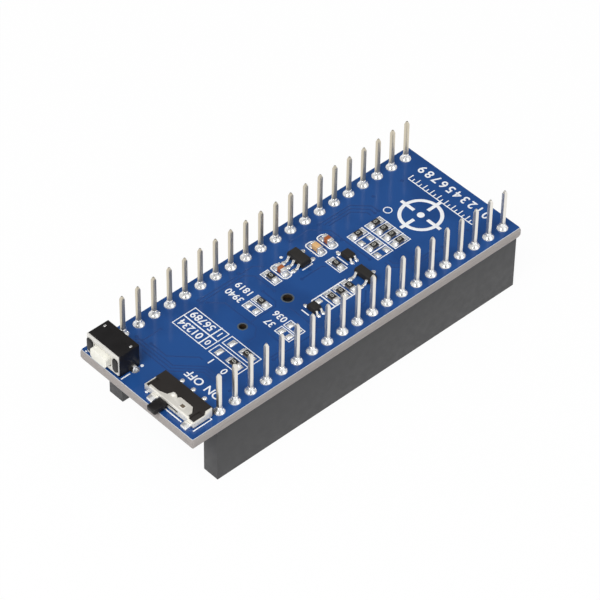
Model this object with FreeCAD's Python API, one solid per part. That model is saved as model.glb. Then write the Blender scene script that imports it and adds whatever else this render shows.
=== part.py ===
import FreeCAD, Part
import math
import os

# Stackable satellite-positioning board for a 40-pin controller board.
# All sizes are in millimetres. X runs along the board, towards the end without switches.
# Y runs across it, from the near socket strip to the far one, and Z points up.
# The origin is in the middle of the contact field, on the socket strips' lower faces.

# Contact field
contact_pitch = 2.54
contacts_per_row = 20
row_spacing = 17.78

# Socket strips, which hang below the board
strip_height = 8.5
strip_width = 2.5
strip_end_wall = 0.75         # plastic beyond the first and last contact chamber
chamber_length = 1.4          # along the row
chamber_width = 1.0
mouth_width = 1.4             # the square funnel that guides a pin in
throat_width = 0.8
mouth_depth = 0.7

# Contacts: fork, shoulder and tail in one stamping
sheet = 0.5                   # thickness of the fork and side of the square tail
shoulder_depth = 0.3          # top of the shoulder below the top of the strip
shoulder_height = 1.3
tine_root_gap = 0.7
tine_pinch_gap = 0.5
tine_root_width = 0.3
tine_tip_width = 0.16
tine_tip_gap = 0.86
tine_pinch_above_throat = 1.2
tine_end_above_throat = 0.3
pin_stand = 6.4               # from the board's upper face to the tip
pin_taper = 0.45
pin_tip_flat = 0.22

# Board
board_thickness = 1.6
board_width = 21.0
board_left_reach = 29.85     # from the origin to the end with the switches
board_right_reach = 26.1
board_corner_radius = 0.35
board_corner_steps = 4
board_score_depth = 0.45      # the scored edges slope in towards both faces
board_score_inset = 0.2
contact_hole_diameter = 1.0
hidden_hole_sides = 8         # solder covers these holes, so they are drawn with few sides

# Solder fillets round the contacts
fillet_foot_radius = 0.77
fillet_waist_radius = 0.52
fillet_waist_height = 0.27
fillet_neck_radius = 0.4
fillet_height = 1.05
fillet_sides = 8

# Push button, lying on its side at the far corner
button_width = 5.8
button_depth = 3.22
button_height = 3.5
button_edge_gap = 1.28        # from the housing's far side to the board's far edge
button_front_inset = 0.5      # from the board's end to the housing's front face
button_plate_thickness = 0.2
button_plate_lift = 0.42       # lower edge of the plate above the board
boss_spacing = 4.95           # the two black bosses that stake the front plate
boss_width = 0.8
boss_height = 2.15
boss_proud = 0.12
boss_center_z = 1.86
plunger_width = 2.95
plunger_height = 1.7
plunger_center_z = 1.83
plunger_reach = 0.95          # tip in front of the housing's front face
plunger_corner_radius = 0.5
plunger_flange_width = 3.5
plunger_flange_height = 2.25
plunger_flange_thickness = 0.45
plunger_nub_diameter = 1.0
plunger_nub_length = 0.12
plunger_clearance = 0.08      # round the plunger and its flange
plunger_travel = 0.25
dome_diameter = 2.1
dome_height = 0.32
dome_sheet = 0.08
dome_sides = 12
dome_crown_share = 0.45       # flat crown's radius over the rim's
nub_clearance = 0.06          # left between the plunger's nub and the dome when pressed
terminal_width = 0.42
terminal_sheet = 0.3
terminal_inset = 0.33         # from the housing's side to the terminal's upright
terminal_from_front = 2.27
terminal_knee_height = 0.6
terminal_below_board = 0.7
terminal_hole_diameter = 0.95
button_solder_radius = 0.68
button_solder_height = 0.5

# Slide switch, lying flat at the near corner, its lever over the board's end
switch_length = 8.65
switch_depth = 3.15
switch_height = 1.25
switch_edge_gap = 1.6         # from the housing's near end to the board's near edge
switch_front_inset = 1.6      # from the board's end to the housing's front face
cover_sheet = 0.15
cover_lift = 0.12             # lower edge of the front wall above the board
cover_end_lift = 0.15         # lower edge of the end walls above the board
cover_tongue = (               # (behind the front, beyond the middle) points, far end first
    (0.12, 3.57), (0.12, 2.13), (0.5, 1.03), (1.3, 0.76), (1.3, 0.16),
    (1.0, -0.27), (1.35, -0.52), (1.35, -2.67), (0.65, -3.32),
)
cover_wall_height = 0.97      # end walls at the front, above the board
cover_tab_start = 1.9         # tabs at the back of the end walls, from the front
cover_tab_end = 2.85
cover_tab_rise = 0.15         # tabs above the top tongue
cover_tab_slope = 0.15
housing_step_length = 1.55    # lowered corners at the front of the housing
housing_step_width = 0.75
stake_radius = 0.3
stake_height = 0.1
stake_from_front = 1.0
stake_offset = 0.46
dimple_side = 0.35
dimple_from_front = 0.5
dimple_offset = -1.77
lever_width = 1.45
lever_height = 0.78
lever_bottom = 0.22
lever_reach = 2.35            # in front of the housing's front face
lever_tip_cut = 0.12
lever_rest_offset = 0.875     # from the middle of the switch, towards OFF
lever_travel = 1.6
slider_length = 3.0
slider_depth = 1.25
slider_clearance = 0.1
lever_slot_clearance = 0.15
lever_neck_height = 0.28      # through the cover, thinner than the knob
lever_neck_clearance = 0.06
lever_knob_gap = 0.1          # from the cover to the knob
channel_end_clearance = 0.15
wiper_length = 2.4
wiper_sheet = 0.12
wiper_height = 0.35
switch_lead_spacing = 2.03
switch_lead_offset = 0.425    # the row of leads is off the middle, towards OFF
switch_lead_width = 0.5
switch_lead_sheet = 0.15
switch_lead_level = 0.42
switch_lead_reach = 1.0
switch_lead_bend = 0.25       # straight run behind the housing
switch_lead_drop = 0.2        # length along X of the sloping run
switch_lead_shift = 0.1       # underside's bends against the upper side's
switch_foot_width = 0.8
switch_foot_reach = 0.75
switch_foot_spacing = 6.22
switch_foot_offset = -0.505
switch_solder_height = 0.5
switch_solder_margin = 0.12
switch_solder_toe_share = 0.75    # height at the toe over the full height
switch_solder_crest_share = 0.6   # where the full height starts, along the foot

# Small-outline bodies: width along X, length along Y, height, before any turning
regulator_size = (1.6, 2.9, 1.05)
regulator_place = (0.77, 3.97)
load_transistor_size = (1.3, 2.9, 1.0)
load_transistor_place = (4.95, -3.78)
lead_pitch = 0.95
lead_reach = 0.62
lead_width = 0.38
small_device_size = (1.45, 1.3, 0.8)
small_device_places = {"standby_transistor": (5.8, 0.35), "reset_transistor": (-3.8, -3.75)}
small_lead_reach = 0.55
small_lead_width = 0.3
small_single_offset = 0.3     # along the side with one lead
small_pair_offsets = (-0.45, 0.3)
lead_sheet = 0.14
lead_bury = 0.2
lead_foot = 0.35
lead_knee = 0.12              # straight run before the bend
body_draft = 0.09
body_standoff = 0.06

# Chip parts
chip_length = 1.6
chip_width = 0.8
chip_cap = 0.3
resistor_height = 0.45
capacitor_height = 0.8
power_row_y = 4.08
power_resistor_x = -3.87
power_capacitors_x = (-2.17, 3.87, 5.83)
standby_resistor_place = (3.8, 0.3)
lower_row_y = -3.72
lower_row_x = (-0.7, 0.79, 2.28)
grid_rows = (2.47, 1.01, -0.45, -1.91)
full_column_x = 12.67
part_column_x = 9.6
jumper_places = ((-17.45, -4.15), (-15.28, -4.15), (-7.8, 1.55))

# Receiver on the underside
receiver_length = 10.1
receiver_width = 9.7
receiver_board_thickness = 0.8
receiver_center_x = 9.6
shield_inset = 0.35
shield_height = 1.7
shield_sheet = 0.2
shield_corner_cut = 0.45

# Backup cell and its holder on the underside
cell_diameter = 12.5
cell_thickness = 2.0
holder_length = 16.4
holder_width = 13.9
holder_height = 3.4
holder_cell_clearance = 0.12
holder_corner_cut = 0.9
peg_spacing = 7.55
peg_middle_x = -8.575
large_peg_hole_diameter = 1.3
small_peg_hole_diameter = 0.95
peg_clearance = 0.06
peg_length = 1.1
peg_sides = 12
clip_width = 3.0
clip_sheet = 0.2
clip_arm_over_cell = 3.0
clip_tail_reach = 1.6
thumb_notch_width = 6.0

# Antenna connector on the underside
antenna_from_end = 5.5
antenna_y = -3.2
antenna_base_side = 2.6
antenna_base_thickness = 0.35
antenna_ring_diameter = 2.0
antenna_ring_bore = 1.6
antenna_height = 1.25
antenna_pin_diameter = 0.5
antenna_pin_height = 1.0

# Status lamps and decoupling chips on the underside
lamp_from_end = 7.45
lamp_spacing = 3.2
lamp_height = 0.6
decoupling_gap = 0.475        # from the cell's positive tail to the chips
decoupling_spacing = 3.0
decoupling_count = 4

board_under = strip_height
board_top = board_under + board_thickness
pin_tip_z = board_top + pin_stand
strip_length = (contacts_per_row - 1) * contact_pitch + chamber_length + 2 * strip_end_wall
switch_front_x = switch_front_inset - board_left_reach
switch_back_x = switch_front_x + switch_depth
switch_center_y = switch_edge_gap + (switch_length - board_width) / 2
button_front_x = button_front_inset - board_left_reach
button_back_x = button_front_x + button_depth
button_center_y = (board_width - button_width) / 2 - button_edge_gap
terminal_x = button_front_x + terminal_from_front
antenna_x = board_right_reach - antenna_from_end
lamp_x = lamp_from_end - board_left_reach
decoupling_x = peg_middle_x + holder_length / 2 + clip_tail_reach + decoupling_gap + chip_width / 2
dome_free_gap = plunger_travel + nub_clearance


def point(x, y, z):
    return FreeCAD.Vector(x, y, z)


def block(x0, x1, y0, y1, z0, z1):
    return Part.makeBox(x1 - x0, y1 - y0, z1 - z0, point(x0, y0, z0))


def closed_face(points):
    return Part.Face(Part.makePolygon(points + [points[0]]))


def plate_along_y(outline, y0, y1):
    """Solid from an outline of (x, z) points, from y0 to y1."""
    face = closed_face([point(x, y0, z) for x, z in outline])
    return face.extrude(point(0, y1 - y0, 0))


def plate_along_x(outline, x0, x1):
    """Solid from an outline of (y, z) points, from x0 to x1."""
    face = closed_face([point(x0, y, z) for y, z in outline])
    return face.extrude(point(x1 - x0, 0, 0))


def plate_along_z(outline, z0, z1):
    """Solid from an outline of (x, y) points, from z0 to z1."""
    face = closed_face([point(x, y, z0) for x, y in outline])
    return face.extrude(point(0, 0, z1 - z0))


def rectangle_ring(half_x, half_y, z):
    corners = [(-half_x, -half_y), (half_x, -half_y), (half_x, half_y), (-half_x, half_y)]
    return [point(x, y, z) for x, y in corners]


def polygon_ring(radius, sides, z):
    step = 2 * math.pi / sides
    angles = [step * (index + 0.5) for index in range(sides)]
    return [point(radius * math.cos(angle), radius * math.sin(angle), z) for angle in angles]


def stacked_solid(rings):
    """Flat-sided solid through rings of points, the lowest first, each ring alike in shape."""
    count = len(rings[0])
    faces = [closed_face(rings[0]), closed_face(rings[-1])]
    for low, high in zip(rings, rings[1:]):
        for index in range(count):
            after = (index + 1) % count
            faces.append(closed_face([low[index], low[after], high[after], high[index]]))
    solid = Part.makeSolid(Part.makeShell(faces))
    solid.fix(1e-6, 1e-6, 1e-6)
    return solid


def many_sided_post(radius, sides, z0, z1, x=0.0, y=0.0):
    """Upright post or hidden round hole, drawn with a few flat sides."""
    rings = [polygon_ring(radius, sides, z0), polygon_ring(radius, sides, z1)]
    return moved(stacked_solid(rings), x, y)


def disc(radius, z0, z1, x=0.0, y=0.0):
    return Part.makeCylinder(radius, z1 - z0, point(x, y, z0))


def moved(shape, x=0.0, y=0.0, z=0.0):
    copy = shape.copy()
    copy.translate(point(x, y, z))
    return copy


def upright_edges(shape):
    found = []
    for edge in shape.Edges:
        start, end = edge.Vertexes[0].Point, edge.Vertexes[-1].Point
        if abs(start.x - end.x) < 1e-6 and abs(start.y - end.y) < 1e-6:
            found.append(edge)
    return found


def contact_positions():
    first = -(contacts_per_row - 1) * contact_pitch / 2
    return [first + index * contact_pitch for index in range(contacts_per_row)]


def save(name, *solids):
    shape = solids[0] if len(solids) == 1 else Part.makeCompound(list(solids))
    shape.exportStep("parts/" + name + ".step")


# Board

def button_side_y(side):
    """The Y of the button housing's side face: side is -1 for the near one, 1 for the far one."""
    return button_center_y + side * button_width / 2


def terminal_leg_y(side):
    """The middle of a button terminal's leg, which stands just outside the housing."""
    return button_side_y(side) + side * terminal_sheet / 2


def board_ring(inset, z):
    """The board's outline with rounded corners, drawn in by the inset."""
    middle_x = (board_right_reach - board_left_reach) / 2
    half_x = (board_right_reach + board_left_reach) / 2 - board_corner_radius
    half_y = board_width / 2 - board_corner_radius
    radius = board_corner_radius - inset
    ring = []
    for quarter, (side_x, side_y) in enumerate(((1, 1), (-1, 1), (-1, -1), (1, -1))):
        for step in range(board_corner_steps + 1):
            angle = (quarter + step / board_corner_steps) * math.pi / 2
            ring.append(point(
                middle_x + side_x * half_x + radius * math.cos(angle),
                side_y * half_y + radius * math.sin(angle),
                z,
            ))
    return ring


def make_board():
    board = stacked_solid([
        board_ring(board_score_inset, board_under),
        board_ring(0, board_under + board_score_depth),
        board_ring(0, board_top - board_score_depth),
        board_ring(board_score_inset, board_top),
    ])
    holes = []
    contact_hole = many_sided_post(
        contact_hole_diameter / 2, hidden_hole_sides, board_under, board_top
    )
    for x in contact_positions():
        for y in (-row_spacing / 2, row_spacing / 2):
            holes.append(moved(contact_hole, x, y))
    large_x = peg_middle_x + peg_spacing / 2
    small_x = peg_middle_x - peg_spacing / 2
    holes.append(disc(large_peg_hole_diameter / 2, board_under, board_top, large_x, 0))
    holes.append(disc(small_peg_hole_diameter / 2, board_under, board_top, small_x, 0))
    terminal_hole = many_sided_post(
        terminal_hole_diameter / 2, hidden_hole_sides, board_under, board_top, terminal_x
    )
    for side in (-1, 1):
        holes.append(moved(terminal_hole, 0, terminal_leg_y(side)))
    return board.cut(holes)


# Socket strips

def make_socket_housing():
    """One strip, its row on Y = 0: funnelled mouths below, chambers open to the board above."""
    housing = block(
        -strip_length / 2, strip_length / 2,
        -strip_width / 2, strip_width / 2,
        0, strip_height,
    )
    mouth = stacked_solid([
        rectangle_ring(mouth_width / 2, mouth_width / 2, 0),
        rectangle_ring(throat_width / 2, throat_width / 2, mouth_depth),
    ])
    chamber = block(
        -chamber_length / 2, chamber_length / 2,
        -chamber_width / 2, chamber_width / 2,
        mouth_depth, strip_height,
    )
    cavity = mouth.fuse(chamber)
    return housing.cut([moved(cavity, x) for x in contact_positions()])


def make_contact():
    """Fork, shoulder, square tail and tapered tip, standing on the Z axis."""
    shoulder_top = strip_height - shoulder_depth
    shoulder_bottom = shoulder_top - shoulder_height
    pinch_z = mouth_depth + tine_pinch_above_throat
    end_z = mouth_depth + tine_end_above_throat
    root_inner = tine_root_gap / 2
    pinch_inner = tine_pinch_gap / 2
    tip_inner = tine_tip_gap / 2
    half = [
        (sheet / 2, pin_tip_z - pin_taper),
        (sheet / 2, shoulder_top),
        (chamber_length / 2, shoulder_top),
        (chamber_length / 2, shoulder_bottom),
        (root_inner + tine_root_width, shoulder_bottom),
        (pinch_inner + tine_tip_width, pinch_z),
        (tip_inner + tine_tip_width, end_z),
        (tip_inner, end_z),
        (pinch_inner, pinch_z),
        (root_inner, shoulder_bottom),
    ]
    mirrored = [(-x, z) for x, z in reversed(half)]
    stamping = plate_along_y(half + mirrored, -sheet / 2, sheet / 2)
    tip = stacked_solid([
        rectangle_ring(sheet / 2, sheet / 2, pin_tip_z - pin_taper),
        rectangle_ring(pin_tip_flat / 2, pin_tip_flat / 2, pin_tip_z),
    ])
    return stamping.fuse(tip).removeSplitter()


def make_contact_fillet():
    """Solder drawn up round a square tail, on the board's upper face."""
    rings = [
        (fillet_foot_radius, 0.0),
        (fillet_waist_radius, fillet_waist_height),
        (fillet_neck_radius, fillet_height),
    ]
    cone = stacked_solid(
        [polygon_ring(radius, fillet_sides, board_top + z) for radius, z in rings]
    )
    tail = block(-sheet / 2, sheet / 2, -sheet / 2, sheet / 2, board_top, pin_tip_z)
    return cone.cut(tail)


def save_rows():
    housing = make_socket_housing()
    contact = make_contact()
    fillet = make_contact_fillet()
    for name, y in (("near", -row_spacing / 2), ("far", row_spacing / 2)):
        save(name + "_socket_housing", moved(housing, 0, y))
        save(name + "_contacts", *[moved(contact, x, y) for x in contact_positions()])
        save(name + "_contact_solder", *[moved(fillet, x, y) for x in contact_positions()])


# Push button

def stadium_along_x(width, height, center_y, center_z, x0, x1):
    """Upright slot shape with round ends, from x0 to x1."""
    radius = width / 2
    straight = height / 2 - radius
    left, right = center_y - radius, center_y + radius
    low, high = center_z - straight, center_z + straight
    edges = [
        Part.Arc(
            point(x0, left, high), point(x0, center_y, high + radius), point(x0, right, high)
        ).toShape(),
        Part.LineSegment(point(x0, right, high), point(x0, right, low)).toShape(),
        Part.Arc(
            point(x0, right, low), point(x0, center_y, low - radius), point(x0, left, low)
        ).toShape(),
        Part.LineSegment(point(x0, left, low), point(x0, left, high)).toShape(),
    ]
    return Part.Face(Part.Wire(edges)).extrude(point(x1 - x0, 0, 0))


def button_block(width, height, x0, x1):
    """Block centred on the plunger's axis."""
    axis_z = board_top + plunger_center_z
    return block(
        x0, x1,
        button_center_y - width / 2, button_center_y + width / 2,
        axis_z - height / 2, axis_z + height / 2,
    )


def make_button_terminal(side):
    """Strip from the housing's top, down inside it, out at the knee and through the board."""
    outside = button_side_y(side)
    inside = outside - side * terminal_inset
    knee = board_top + terminal_knee_height
    outline = [
        (inside, board_top + button_height),
        (inside - side * terminal_sheet, board_top + button_height),
        (inside - side * terminal_sheet, knee - terminal_sheet),
        (outside, knee - terminal_sheet),
        (outside, board_under - terminal_below_board),
        (outside + side * terminal_sheet, board_under - terminal_below_board),
        (outside + side * terminal_sheet, knee),
        (inside, knee),
    ]
    return plate_along_x(outline, terminal_x - terminal_width / 2, terminal_x + terminal_width / 2)


def button_bosses(x0, x1):
    bosses = []
    for side in (-1, 1):
        y = button_center_y + side * boss_spacing / 2
        z = board_top + boss_center_z
        bosses.append(stadium_along_x(boss_width, boss_height, y, z, x0, x1))
    return bosses


def make_button_housing(terminals):
    pocket_depth = (
        plunger_flange_thickness + plunger_nub_length + dome_free_gap + dome_height
    )
    shell = block(
        button_front_x, button_back_x,
        button_side_y(-1), button_side_y(1),
        board_top, board_top + button_height,
    )
    pocket = button_block(
        plunger_flange_width + 2 * plunger_clearance,
        plunger_flange_height + 2 * plunger_clearance,
        button_front_x, button_front_x + pocket_depth,
    )
    bosses = button_bosses(button_front_x - button_plate_thickness - boss_proud, button_front_x)
    return shell.fuse(bosses).cut([pocket] + terminals).removeSplitter()


def make_button_plate():
    plate = block(
        button_front_x - button_plate_thickness, button_front_x,
        button_side_y(-1), button_side_y(1),
        board_top + button_plate_lift, board_top + button_height,
    )
    window = button_block(
        plunger_width + 2 * plunger_clearance,
        plunger_height + 2 * plunger_clearance,
        button_front_x - button_plate_thickness, button_front_x,
    )
    stakes = button_bosses(button_front_x - button_plate_thickness, button_front_x)
    return plate.cut([window] + stakes)


def make_plunger():
    """Head with rounded sides through the plate's window, flange behind it, nub for the dome."""
    flange_front = button_front_x
    flange_back = flange_front + plunger_flange_thickness
    head = button_block(
        plunger_width, plunger_height, button_front_x - plunger_reach, flange_front
    )
    long_edges = []
    for edge in head.Edges:
        start, end = edge.Vertexes[0].Point, edge.Vertexes[-1].Point
        if abs(start.y - end.y) < 1e-6 and abs(start.z - end.z) < 1e-6:
            long_edges.append(edge)
    head = head.makeFillet(plunger_corner_radius, long_edges)
    flange = button_block(
        plunger_flange_width, plunger_flange_height, flange_front, flange_back
    )
    nub = Part.makeCylinder(
        plunger_nub_diameter / 2,
        plunger_nub_length,
        point(flange_back, button_center_y, board_top + plunger_center_z),
        point(1, 0, 0),
    )
    return head.fuse([flange, nub]).removeSplitter()


def make_dome():
    """Thin sprung disc behind the plunger, its rim on the floor of the pocket."""
    rim = dome_diameter / 2
    crown = rim * dome_crown_share
    outer = stacked_solid([
        polygon_ring(rim, dome_sides, 0),
        polygon_ring(crown, dome_sides, dome_height),
    ])
    inner = stacked_solid([
        polygon_ring(rim - 2 * dome_sheet, dome_sides, 0),
        polygon_ring(crown - dome_sheet, dome_sides, dome_height - dome_sheet),
    ])
    dome = outer.cut(inner)
    dome.rotate(point(0, 0, 0), point(0, 1, 0), -90)
    rim_x = (
        button_front_x + plunger_flange_thickness + plunger_nub_length
        + dome_free_gap + dome_height
    )
    return moved(dome, rim_x, button_center_y, board_top + plunger_center_z)


def save_button():
    terminals = [make_button_terminal(side) for side in (-1, 1)]
    housing = make_button_housing(terminals)
    solder = []
    for side in (-1, 1):
        cone = stacked_solid([
            polygon_ring(button_solder_radius, fillet_sides, board_top),
            polygon_ring(terminal_width / 2, fillet_sides, board_top + button_solder_height),
        ])
        cone = moved(cone, terminal_x, terminal_leg_y(side))
        solder.append(cone.cut([housing] + terminals))
    save("button_housing", housing)
    save("button_front_plate", make_button_plate())
    save("button_plunger", make_plunger())
    save("button_dome", make_dome())
    save("button_terminals", *terminals)
    save("button_solder", *solder)


# Slide switch

def switch_channel_half():
    return slider_length / 2 + lever_travel / 2 + channel_end_clearance


def slider_center_y():
    return switch_center_y + lever_rest_offset


def channel_center_y():
    """Middle of the lever's whole travel."""
    return slider_center_y() - lever_travel / 2


def lever_neck_low():
    return board_top + lever_bottom + (lever_height - lever_neck_height) / 2


def make_switch_lead(y):
    """Flat strip from under the wiper's track, out at the back and down to the board."""
    level = board_top + switch_lead_level
    inner = switch_back_x - switch_depth + slider_depth + 2 * slider_clearance + wiper_sheet
    bend = switch_back_x + switch_lead_bend
    end = switch_back_x + switch_lead_reach
    outline = [
        (inner, level),
        (bend, level),
        (bend + switch_lead_drop, board_top + switch_lead_sheet),
        (end, board_top + switch_lead_sheet),
        (end, board_top),
        (bend + switch_lead_drop - switch_lead_shift, board_top),
        (bend - switch_lead_shift, level - switch_lead_sheet),
        (inner, level - switch_lead_sheet),
    ]
    return plate_along_y(outline, y - switch_lead_width / 2, y + switch_lead_width / 2)


def switch_lead_rows():
    middle = switch_center_y + switch_lead_offset
    return [middle + step * switch_lead_spacing for step in (-1, 0, 1)]


def switch_corner_steps():
    """The air over the two lowered front corners, through the cover's front wall as well."""
    half = switch_length / 2
    steps = []
    for y0, y1 in ((-half - cover_sheet, housing_step_width - half),
                   (half - housing_step_width, half + cover_sheet)):
        steps.append(block(
            switch_front_x - cover_sheet, switch_front_x + housing_step_length,
            switch_center_y + y0, switch_center_y + y1,
            board_top + cover_wall_height, board_top + switch_height + cover_sheet,
        ))
    return steps


def make_switch_housing(leads):
    shell = block(
        switch_front_x, switch_back_x,
        switch_center_y - switch_length / 2, switch_center_y + switch_length / 2,
        board_top, board_top + switch_height,
    )
    slider_bottom = board_top + lever_bottom
    channel = block(
        switch_front_x,
        switch_front_x + slider_depth + 2 * slider_clearance + wiper_sheet,
        channel_center_y() - switch_channel_half(),
        channel_center_y() + switch_channel_half(),
        slider_bottom - slider_clearance,
        slider_bottom + lever_height + slider_clearance,
    )
    return shell.cut([channel] + switch_corner_steps() + leads)


def switch_foot_rows():
    middle = switch_center_y + switch_foot_offset
    return [middle + side * switch_foot_spacing / 2 for side in (-1, 1)]


def make_cover_tongue(outer_front, low, high):
    """Top of the cover: a thin rim at the far end, then a tongue with a notch and a cut corner."""
    first, last = cover_tongue[0], cover_tongue[-1]
    outline = [(outer_front, switch_center_y + first[1])]
    for depth, offset in cover_tongue:
        outline.append((switch_front_x + depth, switch_center_y + offset))
    outline.append((outer_front, switch_center_y + last[1]))
    return plate_along_z(outline, low, high)


def make_cover_end_walls():
    """Low walls, the near one rising to a tab at the back."""
    low = board_top + cover_end_lift
    step = board_top + cover_wall_height
    top = board_top + switch_height + cover_sheet + cover_tab_rise
    tab_x = switch_front_x + cover_tab_start
    end_x = switch_front_x + cover_tab_end
    low_outline = [(switch_front_x, low), (end_x, low), (end_x, step), (switch_front_x, step)]
    tab_outline = low_outline[:2] + [
        (end_x, top), (tab_x, top), (tab_x - cover_tab_slope, step), (switch_front_x, step),
    ]
    walls = []
    for side, outline in ((-1, tab_outline), (1, low_outline)):
        inner = switch_center_y + side * switch_length / 2
        outer = inner + side * cover_sheet
        walls.append(plate_along_y(outline, inner, outer))
    return walls


def make_switch_cover():
    """Folded sheet: front wall with the lever's slot, end walls, top tongue and two feet."""
    outer_front = switch_front_x - cover_sheet
    half = switch_length / 2 + cover_sheet
    low = board_top + cover_lift
    high = board_top + switch_height
    top = high + cover_sheet
    front = block(
        outer_front, switch_front_x,
        switch_center_y - half, switch_center_y + half,
        low, top,
    )
    slot_half = (lever_width + lever_travel) / 2 + lever_slot_clearance
    slot = block(
        outer_front, switch_front_x,
        channel_center_y() - slot_half, channel_center_y() + slot_half,
        lever_neck_low() - lever_neck_clearance,
        lever_neck_low() + lever_neck_height + lever_neck_clearance,
    )
    stake = many_sided_post(
        stake_radius, fillet_sides, top, top + stake_height,
        switch_front_x + stake_from_front, switch_center_y + stake_offset,
    )
    feet = []
    for y in switch_foot_rows():
        feet.append(block(
            outer_front - switch_foot_reach, switch_front_x,
            y - switch_foot_width / 2, y + switch_foot_width / 2,
            board_top, low + cover_sheet,
        ))
    dimple_x = switch_front_x + dimple_from_front
    dimple_y = switch_center_y + dimple_offset
    dimple = block(
        dimple_x - dimple_side / 2, dimple_x + dimple_side / 2,
        dimple_y - dimple_side / 2, dimple_y + dimple_side / 2,
        high, top,
    )
    pieces = make_cover_end_walls() + [make_cover_tongue(outer_front, high, top), stake] + feet
    openings = [slot, dimple] + switch_corner_steps()
    return front.fuse(pieces).cut(openings).removeSplitter()


def make_lever():
    y = slider_center_y()
    bottom = board_top + lever_bottom
    knob_back = switch_front_x - cover_sheet - lever_knob_gap
    knob = block(
        switch_front_x - lever_reach, knob_back,
        y - lever_width / 2, y + lever_width / 2,
        bottom, bottom + lever_height,
    )
    neck = block(
        knob_back, switch_front_x + slider_clearance,
        y - lever_width / 2, y + lever_width / 2,
        lever_neck_low(), lever_neck_low() + lever_neck_height,
    )
    tip_edges = []
    for edge in knob.Edges:
        middle = edge.valueAt((edge.FirstParameter + edge.LastParameter) / 2)
        if middle.x < switch_front_x - lever_reach + 1e-6:
            tip_edges.append(edge)
    knob = knob.makeChamfer(lever_tip_cut, tip_edges)
    slider = block(
        switch_front_x + slider_clearance, switch_front_x + slider_clearance + slider_depth,
        y - slider_length / 2, y + slider_length / 2,
        bottom, bottom + lever_height,
    )
    return knob.fuse([neck, slider]).removeSplitter()


def make_wiper():
    """Strip on the slider's back that bridges two neighbouring leads."""
    x0 = switch_front_x + slider_clearance + slider_depth
    y = slider_center_y()
    z = board_top + lever_bottom + lever_height / 2
    return block(
        x0, x0 + wiper_sheet,
        y - wiper_length / 2, y + wiper_length / 2,
        z - wiper_height / 2, z + wiper_height / 2,
    )


def make_foot_solder(cover):
    """Solder drawn up over each of the cover's feet."""
    outer_front = switch_front_x - cover_sheet
    foot_end = outer_front - switch_foot_reach
    half = switch_foot_width / 2 + switch_solder_margin
    outline = [
        (foot_end - 2 * switch_solder_margin, board_top),
        (foot_end - switch_solder_margin, board_top + switch_solder_toe_share * switch_solder_height),
        (foot_end + switch_solder_crest_share * switch_foot_reach, board_top + switch_solder_height),
        (outer_front, board_top + switch_solder_height),
        (outer_front, board_top),
    ]
    wedges = [plate_along_y(outline, y - half, y + half) for y in switch_foot_rows()]
    return [wedge.cut(cover) for wedge in wedges]


def save_switch():
    leads = [make_switch_lead(y) for y in switch_lead_rows()]
    cover = make_switch_cover()
    save("switch_housing", make_switch_housing(leads))
    save("switch_cover", cover)
    save("switch_lever", make_lever())
    save("switch_wiper", make_wiper())
    save("switch_leads", *leads)
    save("switch_foot_solder", *make_foot_solder(cover))


# Small-outline devices

def drafted_body(width, length, height):
    """Moulded body, widest at its parting line, centred on the Z axis above the board."""
    floor = board_top + body_standoff
    parting = board_top + body_standoff + height * 0.5
    top = board_top + body_standoff + height
    half_x, half_y = width / 2, length / 2
    return stacked_solid([
        rectangle_ring(half_x - body_draft, half_y - body_draft, floor),
        rectangle_ring(half_x, half_y, parting),
        rectangle_ring(half_x - body_draft, half_y - body_draft, top),
    ])


def gull_wing_lead(body_half, height, reach, width):
    """Lead on the body's positive X side: out at the parting line, down, and along the board."""
    level = board_top + body_standoff + height * 0.5 + lead_sheet / 2
    start = body_half - lead_bury
    knee = body_half + lead_knee
    end = body_half + reach
    foot_start = end - lead_foot
    outline = [
        (start, level),
        (knee, level),
        (foot_start + lead_sheet * 0.6, board_top + lead_sheet),
        (end, board_top + lead_sheet),
        (end, board_top),
        (foot_start, board_top),
        (knee - lead_sheet * 0.4, level - lead_sheet),
        (start, level - lead_sheet),
    ]
    return plate_along_y(outline, -width / 2, width / 2)


def small_outline_device(center, size, right, left, turn=0.0, reach=lead_reach, wide=lead_width):
    """Body and leads. right and left give each lead's place along the side, before turning."""
    width, length, height = size
    leads = []
    for offset in right:
        leads.append(moved(gull_wing_lead(width / 2, height, reach, wide), 0, offset))
    for offset in left:
        lead = gull_wing_lead(width / 2, height, reach, wide)
        lead.rotate(point(0, 0, 0), point(0, 0, 1), 180)
        leads.append(moved(lead, 0, offset))
    body = drafted_body(width, length, height).cut(leads)
    pieces = [body] + leads
    for piece in pieces:
        piece.rotate(point(0, 0, 0), point(0, 0, 1), turn)
        piece.translate(point(center[0], center[1], 0))
    return pieces[0], pieces[1:]


def save_small_outline_devices():
    body, leads = small_outline_device(
        regulator_place, regulator_size,
        right=(-lead_pitch, lead_pitch),
        left=(-lead_pitch, 0.0, lead_pitch),
    )
    save("regulator_body", body)
    save("regulator_leads", *leads)
    body, leads = small_outline_device(
        load_transistor_place, load_transistor_size,
        right=(0.0,),
        left=(-lead_pitch, lead_pitch),
    )
    save("load_transistor_body", body)
    save("load_transistor_leads", *leads)
    for name, center in small_device_places.items():
        body, leads = small_outline_device(
            center, small_device_size,
            right=(small_single_offset,),
            left=small_pair_offsets,
            turn=90, reach=small_lead_reach, wide=small_lead_width,
        )
        save(name + "_body", body)
        save(name + "_leads", *leads)


# Chip parts

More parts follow.
